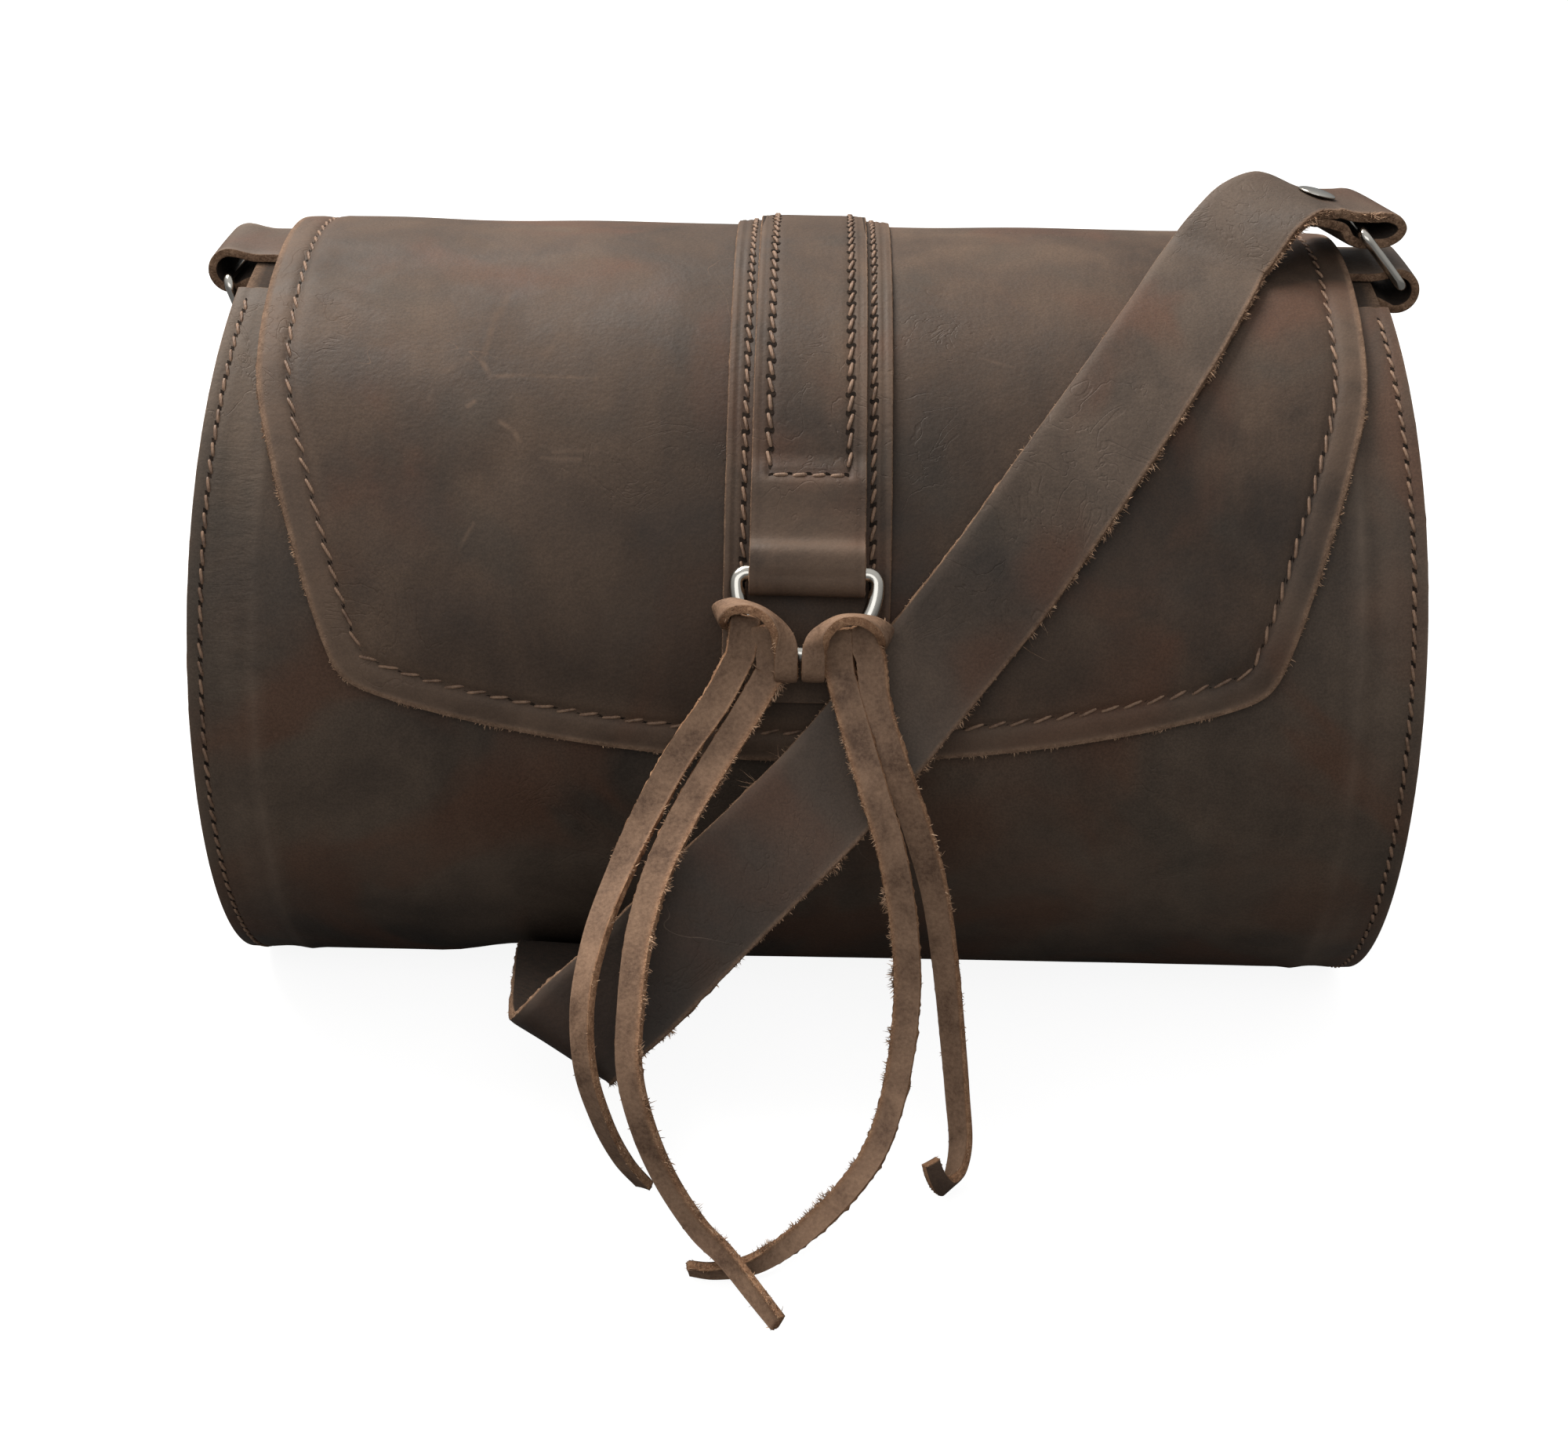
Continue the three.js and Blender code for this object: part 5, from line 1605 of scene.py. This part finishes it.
def add_side_ring(label, ring):
    half = SIDE_GAP / 2 + SIDE_WIRE / 2
    corner = SIDE_CORNER
    line = [
        *arc(corner - half, corner, corner, 180, 270, CORNER_STEPS),
        *arc(half - corner, corner, corner, -90, 0, CORNER_STEPS),
        *arc(half - corner, SIDE_PITCH - corner, corner, 0, 90, CORNER_STEPS),
        *arc(corner - half, SIDE_PITCH - corner, corner, 90, 180, CORNER_STEPS),
    ]
    points = np.array([on_side_ring(ring, along, y) for y, along in line])
    normal = unit(np.cross(on_side_ring(ring, 1) - on_side_ring(ring, 0), vec(0, 1, 0)))
    loop, faces = closed_tube(tube(points, SIDE_WIRE / 2, SIDE_FACETS, normal))
    ends = [on_side_ring(ring, SIDE_PITCH / 2, y) for y in (-half, 0, half)]
    bar = tube(ends, SIDE_MID_WIRE / 2, SIDE_MID_FACETS, normal, False)
    mid, mid_faces = closed_tube(bar, False)
    both = np.vstack([loop, mid])
    faces = list(faces) + [tuple(np.array(f) + len(loop)) for f in mid_faces]
    made = piece(f"side_ring_{label}_metal", both, faces, METAL, "nickel")
    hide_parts(f"side_ring_{label}")


RIVET_CAP = 4.6
RIVET_BACK_CAP = 3.2
RIVET_HEIGHT = 1.1
RIVET_SHANK = 2.0
RIVET_SIDES = 40
RIVET_EDGE = 0.18
RIGHT_TURN = 15
RIVETS = {
    "right": {"turn": RIGHT_TURN, "from": (-10.5, 3.12), "shank": (0.25, 0.968)},
    "left": {"turn": 0, "from": (0, -14.2), "shank": (1, 0)},
}


def rivet_profile():
    """The rivet's section: distance from its axis, and along it."""
    reach = STRAP_WALL + CLEAR * 3
    turns = rad(np.linspace(0, 90, 7))
    back = [
        (RIVET_BACK_CAP * math.sin(t), -reach - RIVET_HEIGHT * (0.3 + 0.7 * math.cos(t))) for t in turns
    ]
    neck = [(RIVET_BACK_CAP, -reach), (RIVET_SHANK, -reach), (RIVET_SHANK, reach)]
    neck.append((RIVET_CAP - 0.15, reach))
    front = [
        (RIVET_CAP * math.sin(t), reach + RIVET_EDGE + (RIVET_HEIGHT - RIVET_EDGE) * math.cos(t))
        for t in turns[::-1]
    ]
    return back + neck + front


def add_rivet(label):
    ring, rivet = SIDE_RINGS[label], RIVETS[label]
    place = on_side_ring(ring, SIDE_PITCH)
    side = ring["side"]
    turned_x, turned_y = math.cos(rad(rivet["turn"])), math.sin(rad(rivet["turn"]))

    def from_bar(x, z):
        return vec(side * x * turned_x, x * turned_y, z)

    middle = place + from_bar(*rivet["from"])
    axis = unit(from_bar(*rivet["shank"]))
    across = unit(np.cross(vec(0, 0, 1), axis))
    beside = np.cross(axis, across)
    turns = rad(np.arange(RIVET_SIDES) * 360 / RIVET_SIDES)
    around = across[None, :] * np.cos(turns)[:, None] + beside[None, :] * np.sin(turns)[:, None]
    rings = [middle + axis * along + around * max(radius, 0.02) for radius, along in rivet_profile()]
    made = piece(f"strap_rivet_{label}_metal", *closed_tube(np.array(rings), False), METAL, "nickel")
    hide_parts(f"strap_rivet_{label}")


add_flap_ring()
for ring_label, ring_data in SIDE_RINGS.items():
    add_side_ring(ring_label, ring_data)
    add_rivet(ring_label)


# The end tabs

TAB_END_POINTS = 110


def end_tab_line():
    upper = FLANGE_RADIUS + CLEAR + 0.1 + TAB_END_WALL / 2
    lower = FLANGE_RADIUS - END_WALL - CLEAR - TAB_END_WALL / 2
    edge = rim_at(90)
    height = LOOP_Z - AXIS_HEIGHT
    line = [(x, upper) for x in spaced(HALF_WIDTH - TAB_END_INNER, edge - 1, 2.5)]
    line += arc(LOOP_X, height, LOOP_RADIUS, 90, -100, 16)
    line += [(edge + 1.4, lower - 1.3), (edge - 0.6, lower - 0.3), (edge - 2.6, lower)]
    line += [(HALF_WIDTH - TAB_END_UNDER, lower)]
    return np.array([(x, 0, z) for x, z in line])


def add_end_tab(side, label):
    flat = spline(end_tab_line(), TAB_END_POINTS)
    along = directions(flat)
    normal = np.stack([-along[:, 2], along[:, 0] * 0, along[:, 0]], 1)
    edge = rim_at(90)
    y = np.array(ACROSS) * TAB_END_WIDTH
    sag = FLANGE_RADIUS - np.sqrt(FLANGE_RADIUS**2 - y**2)
    grids = []
    for face in (1, -1):
        line = flat + normal * face * TAB_END_WALL / 2
        kept = 1 - (1 - LOOP_SAG) * smoothstep(line[:, 0], edge, LOOP_X)
        z = AXIS_HEIGHT + line[:, 2][:, None] - sag[None, :] * kept[:, None]
        x = np.repeat(side * line[:, 0][:, None], len(y), 1)
        grids.append(np.stack([x, np.repeat(y[None, :], len(x), 0), z], -1))
    outer, inner = grids
    wear_and_highlight = edge_wear(len(flat), 0.8) + 0.35 * bell(flat[:, 0] - LOOP_X - 3, 3.0)[:, None]
    name = f"end_tab_{label}"
    made = wall_piece(
        name + "_leather", outer, inner, STRAP_LEATHER, "bag_leather", wear_and_highlight, strip_uv(flat), 0.2, 101 + side
    )
    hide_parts(name)
    for column, mark in ((0, "front"), (-1, "back")):
        edge_fibres(
            f"{name}_{mark}_fibres", outer, inner, column, "bag_leather",
            per_mm=1.2, length=(0.3, 0.8), seed=103,
        )


for end_side, end_label in ((-1, "left"), (1, "right")):
    add_end_tab(end_side, end_label)


# The shoulder strap

# Its ends, from the bar that they are folded round: x outwards, z up. The right end is turned
# forward on its bar.
STRAP_RIGHT_END = (
    (-17, 3.4), (-13.5, 2.6), (-10.5, 1.8), (-8, 0.9), (-5.9, -1.8), (-2.8, -3), (0, -3.05),
    (3.5, -3), (6.3, -1.7), (7.3, 0), (6.3, 1.8), (3.5, 3.05), (0, 3.15), (-5, 3.5), (-10.5, 4.6),
)
# From the right end to the barrel: x, y, height from the same bar, and the direction across.
STRAP_ARCH = (
    ((-17.3, -6, 6.6), (-0.47, 0.86, 0.18)),
    ((-24, -10.5, 4.2), (-0.62, 0.75, 0.24)),
    ((-29.8, -15, -1.2), (-0.75, 0.62, 0.22)),
)
STRAP_LEFT_END = (
    (1.8, -27), (1.55, -19), (1.55, -9.5), (2.6, -5), (3.1, 0), (2.2, 2.2), (0, 3.1), (-2.2, 2.2),
    (-3.1, 0), (-2.6, -5), (-1.55, -9.5), (-1.55, -19),
)
# Over the barrel: x, angle, and how far it stands off.
STRAP_OVER = (
    (93.8, 78.7, 0.9), (89.5, 72.5, 0.7), (80, 60.5, 0.3), (67.5, 47.5, 0.7),
    (54, 35, 0), (41.5, 24.3, 0), (29, 14.6, 0),
)
STRAP_ON_FLAP = FLAP_OUTER + CLEAR + 0.1 + STRAP_WALL / 2
STRAP_ON_BAND = BAND_OUTER + CLEAR + 0.1 + STRAP_WALL / 2
BAND_REACH = 42
# In front: x, forward from the barrel's front, height, and the direction across.
STRAP_FRONT = (
    ((7, 15, 85.4), (-0.7, 0.35, 0.49)),
    ((-18.4, 34, 65.5), (-0.68, 0.28, 0.68)),
    ((-36.7, 46, 50.2), (-0.78, 0.22, 0.58)),
    ((-44.5, 52.5, 45.6), (-0.78, 0.15, 0.6)),
    ((-48.5, 56, 43), (-0.79, 0.1, 0.61)),
    ((-50.2, 51.5, 39.5), (-0.84, 0.05, 0.54)),
    ((-52, 22, 35), (-0.97, 0, 0.24)),
)
# Under the bag and behind it: x, y, height, and the direction across.
STRAP_BEHIND = (
    ((-54, -80, 27.6), (-1, 0, 0.05)),
    ((-54.5, -60, 13.6), (-1, 0, 0)),
    ((-54.5, -42, 3.8), (-1, 0, 0)),
    ((-54.2, -25, 1.4), (-1, 0, 0)),
    ((-54, 0, 1.3), (-1, 0, 0)),
    ((-53, 30, 1.45), (-1, 0, 0)),
    ((-52, 60, 2.3), (-1, 0, 0)),
    ((-51, 105, 5), (-1, 0, -0.1)),
    ((-58, 150, 9.6), (-0.75, -0.35, -0.6)),
    ((-80, 184, 12.9), (-0.3, -0.2, -0.95)),
    ((-105, 192, 13.2), (0, 0, -1)),
    ((-130, 182, 12.9), (0.3, -0.2, -0.95)),
    ((-149, 150, 9.8), (0.7, -0.3, -0.65)),
    ((-153, 110, 5.6), (1, 0, -0.25)),
    ((-154, 75, 3.4), (1, 0, 0)),
    ((-153, 47, 14), (1, 0, 0)),
    ((-153, 29, 40), (1, -0.2, 0)),
    ((-150, 18, 75), (0.8, -0.6, 0)),
    ((-145, 8, 108), (0.35, -0.93, 0)),
)
STRAP_PER_KEY = 10
FLOW_PER_KEY = 20


# How dark the strap's lower front stretch and its fold are made: painted shade where this stretch faces the
# light, and oil.
STRAP_SHADE_AND_OIL = 0.95
STRAP_SLOT = "strap_leather"
STRAP_HAIRS = {"per_mm": 0.6, "length": (2.5, 5.5), "width": 0.09}
# Where the strap is paler from bending: keys from its right end, spread, strength.
STRAP_BENDS = ((-1.5, 9, 0.3), (3.2, 6, 0.2), (6.6, 10, 0.22))


def strap_keys():
    right = on_side_ring(SIDE_RINGS["right"], SIDE_PITCH)
    left = on_side_ring(SIDE_RINGS["left"], SIDE_PITCH)
    turned_x, turned_y = math.cos(rad(RIGHT_TURN)), math.sin(rad(RIGHT_TURN))
    keys = [
        (right + vec(x * turned_x, x * turned_y, z), vec(-turned_y, turned_x, 0))
        for x, z in STRAP_RIGHT_END
    ]
    keys += [(right + vec(*place), vec(*across)) for place, across in STRAP_ARCH]
    before = len(keys)
    for x, angle, off in STRAP_OVER:
        base = STRAP_ON_FLAP if angle > BAND_REACH else STRAP_ON_BAND
        keys.append((on_barrel(x, angle, off + base), None))
    keys += [(vec(x, -RADIUS - forward, z), vec(*across)) for (x, forward, z), across in STRAP_FRONT]
    keys += [(vec(*place), vec(*across)) for place, across in STRAP_BEHIND]
    keys += [(left + vec(-x, 0, z), vec(0, -1, 0)) for x, z in STRAP_LEFT_END]
    places = np.array([place for place, _ in keys])
    fine = spline(places, (len(keys) - 1) * FLOW_PER_KEY + 1)
    flow = directions(fine)[::FLOW_PER_KEY]
    sides = []
    for number, (place, across) in enumerate(keys):
        if across is None:
            angle = STRAP_OVER[number - before][1]
            across = unit(np.cross(flow[number], outwards_at(angle)))
        sides.append(across)
    return places, np.array(sides)


def add_strap():
    places, keyed = strap_keys()
    count = (len(places) - 1) * STRAP_PER_KEY + 1
    points = spline(places, count)
    outer, inner, _ = strip_faces(points, -spline(keyed, count), STRAP_WIDTH, STRAP_WALL, 0.1, 0.16, 111)
    wear_and_highlight = edge_wear(count, 0.6)
    ends = (len(STRAP_RIGHT_END) + len(STRAP_ARCH)) * STRAP_PER_KEY
    along = np.arange(count) - ends
    # The strap's lower front stretch down to its fold is made darker, as painted shade and oil.
    darker = smoothstep(along, 68, 98) * (1 - smoothstep(along, 140, 170))
    darkening = np.tile(STRAP_SHADE_AND_OIL * darker[:, None], (1, len(ACROSS)))
    for centre, spread, strength in STRAP_BENDS:
        wear_and_highlight = wear_and_highlight + strength * bell(np.arange(count) - ends - centre * STRAP_PER_KEY, spread)[:, None]
    made = wall_piece(
        "shoulder_strap_leather", outer, inner, STRAP_LEATHER, STRAP_SLOT, wear_and_highlight, strip_uv(points), 0.3, 112,
        rim_of(count, -1, 0.02, 0.8), darkening,
    )
    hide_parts("shoulder_strap")
    add_strap_fibres(outer, inner, ends)


def add_strap_fibres(outer, inner, ends):
    """Thick fuzz on the stretch that shows in front, a few long hairs, and thin fuzz elsewhere."""
    fold = ends + 15 * STRAP_PER_KEY
    front = slice(ends - 8 * STRAP_PER_KEY, fold)
    rest = slice(fold, len(outer) - 12)
    rows = (
        ("low_edge_fibres", 0, front, {"per_mm": 3.0, "length": (0.3, 1.0), "seed": 113}),
        ("high_edge_fibres", -1, front, {"per_mm": 12.0, "length": (0.5, 1.9), "seed": 114}),
        ("high_hairs", 0, slice(ends + 66, ends + 75), {**STRAP_HAIRS, "seed": 118}),
        ("low_hairs", -1, slice(ends + 50, ends + 59), {**STRAP_HAIRS, "seed": 117}),
        ("hidden_one_fibres", 0, rest, {"per_mm": 1.2, "length": (0.4, 1.1), "seed": 115}),
        ("hidden_other_fibres", -1, rest, {"per_mm": 1.2, "length": (0.4, 1.1), "seed": 114}),
    )
    for label, column, where, settings in rows:
        edge_fibres("strap_" + label, outer, inner, column, STRAP_SLOT, where, **settings)


add_strap()


# The floor and the light

FLOOR_SIZE = 9.0
FLOOR_WHITE = (0.26, 0.26, 0.258)
FLOOR_BOUNCE = (0.3, 0.3, 0.3)
FLOOR_GLOW = 0.9
FLOOR_PATCH = 1.01
SKY_FROM = -0.1
SKY_LOW = 0.22
SKY_HIGH = 0.75
SKY_COLOUR = (1, 0.995, 0.985, 1)


def add_floor(name, colour, height, seen):
    """The floor that the camera sees is pale; the one that lights the bag from below is not."""
    half = FLOOR_SIZE / 2
    corners = [(x, y, height) for x, y in ((-half, -half), (half, -half), (half, half), (-half, half))]
    mesh = bpy.data.meshes.new(name)
    mesh.from_pydata(corners, [], [(0, 1, 2, 3)])
    s = Shader(name)
    tone = s.noise(3.0, 2.0)
    pale = tuple(min(part * FLOOR_PATCH, 1) for part in colour)
    s.set(base_color=s.ramp(tone, (0.3, colour), (0.7, pale)), roughness=0.9, specular_IOR_level=0.1)
    s.set(emission_color=(1, 1, 1, 1), emission_strength=FLOOR_GLOW if seen else 0.0)
    mesh.materials.append(s.material)
    floor = bpy.data.objects.new(name, mesh)
    bpy.context.scene.collection.objects.link(floor)
    floor.visible_camera = seen
    floor.visible_diffuse = not seen
    floor.visible_glossy = not seen
    floor.visible_transmission = seen


def add_light(name, place, target, size, power, colour):
    data = bpy.data.lights.new(name, "AREA")
    data.shape = "RECTANGLE"
    data.size, data.size_y = size
    data.energy = power
    data.color = colour
    light = bpy.data.objects.new(name, data)
    aim = Vector(target) - Vector(place)
    light.location = place
    light.rotation_euler = aim.to_track_quat("-Z", "Y").to_euler()
    bpy.context.scene.collection.objects.link(light)


def add_world():
    world = bpy.data.worlds.new("studio")
    bpy.context.scene.world = world
    world.use_nodes = True
    tree = world.node_tree
    back = tree.nodes["Background"]
    place = tree.nodes.new("ShaderNodeTexCoord")
    split = tree.nodes.new("ShaderNodeSeparateXYZ")
    fade = tree.nodes.new("ShaderNodeMapRange")
    for key, value in (("From Min", SKY_FROM), ("From Max", 1.0), ("To Min", SKY_LOW), ("To Max", SKY_HIGH)):
        fade.inputs[key].default_value = value
    tree.links.new(place.outputs["Generated"], split.inputs[0])
    tree.links.new(split.outputs["Z"], fade.inputs["Value"])
    tree.links.new(fade.outputs[0], back.inputs["Strength"])
    back.inputs["Color"].default_value = SKY_COLOUR


add_floor("floor_seen", FLOOR_WHITE, 0.0, True)
add_floor("floor_under", FLOOR_BOUNCE, -0.0005, False)
add_light("key", (-0.55, 0.5, 1.25), (0, 0, 0.1), (1.1, 0.7), 28.0, (1, 0.94, 0.87))
add_light("fill", (-0.3, -1.3, 0.95), (0, 0, 0.08), (1.4, 0.8), 4.6, (0.98, 0.99, 1))
add_world()
bpy.context.scene.view_settings.view_transform = "Standard"
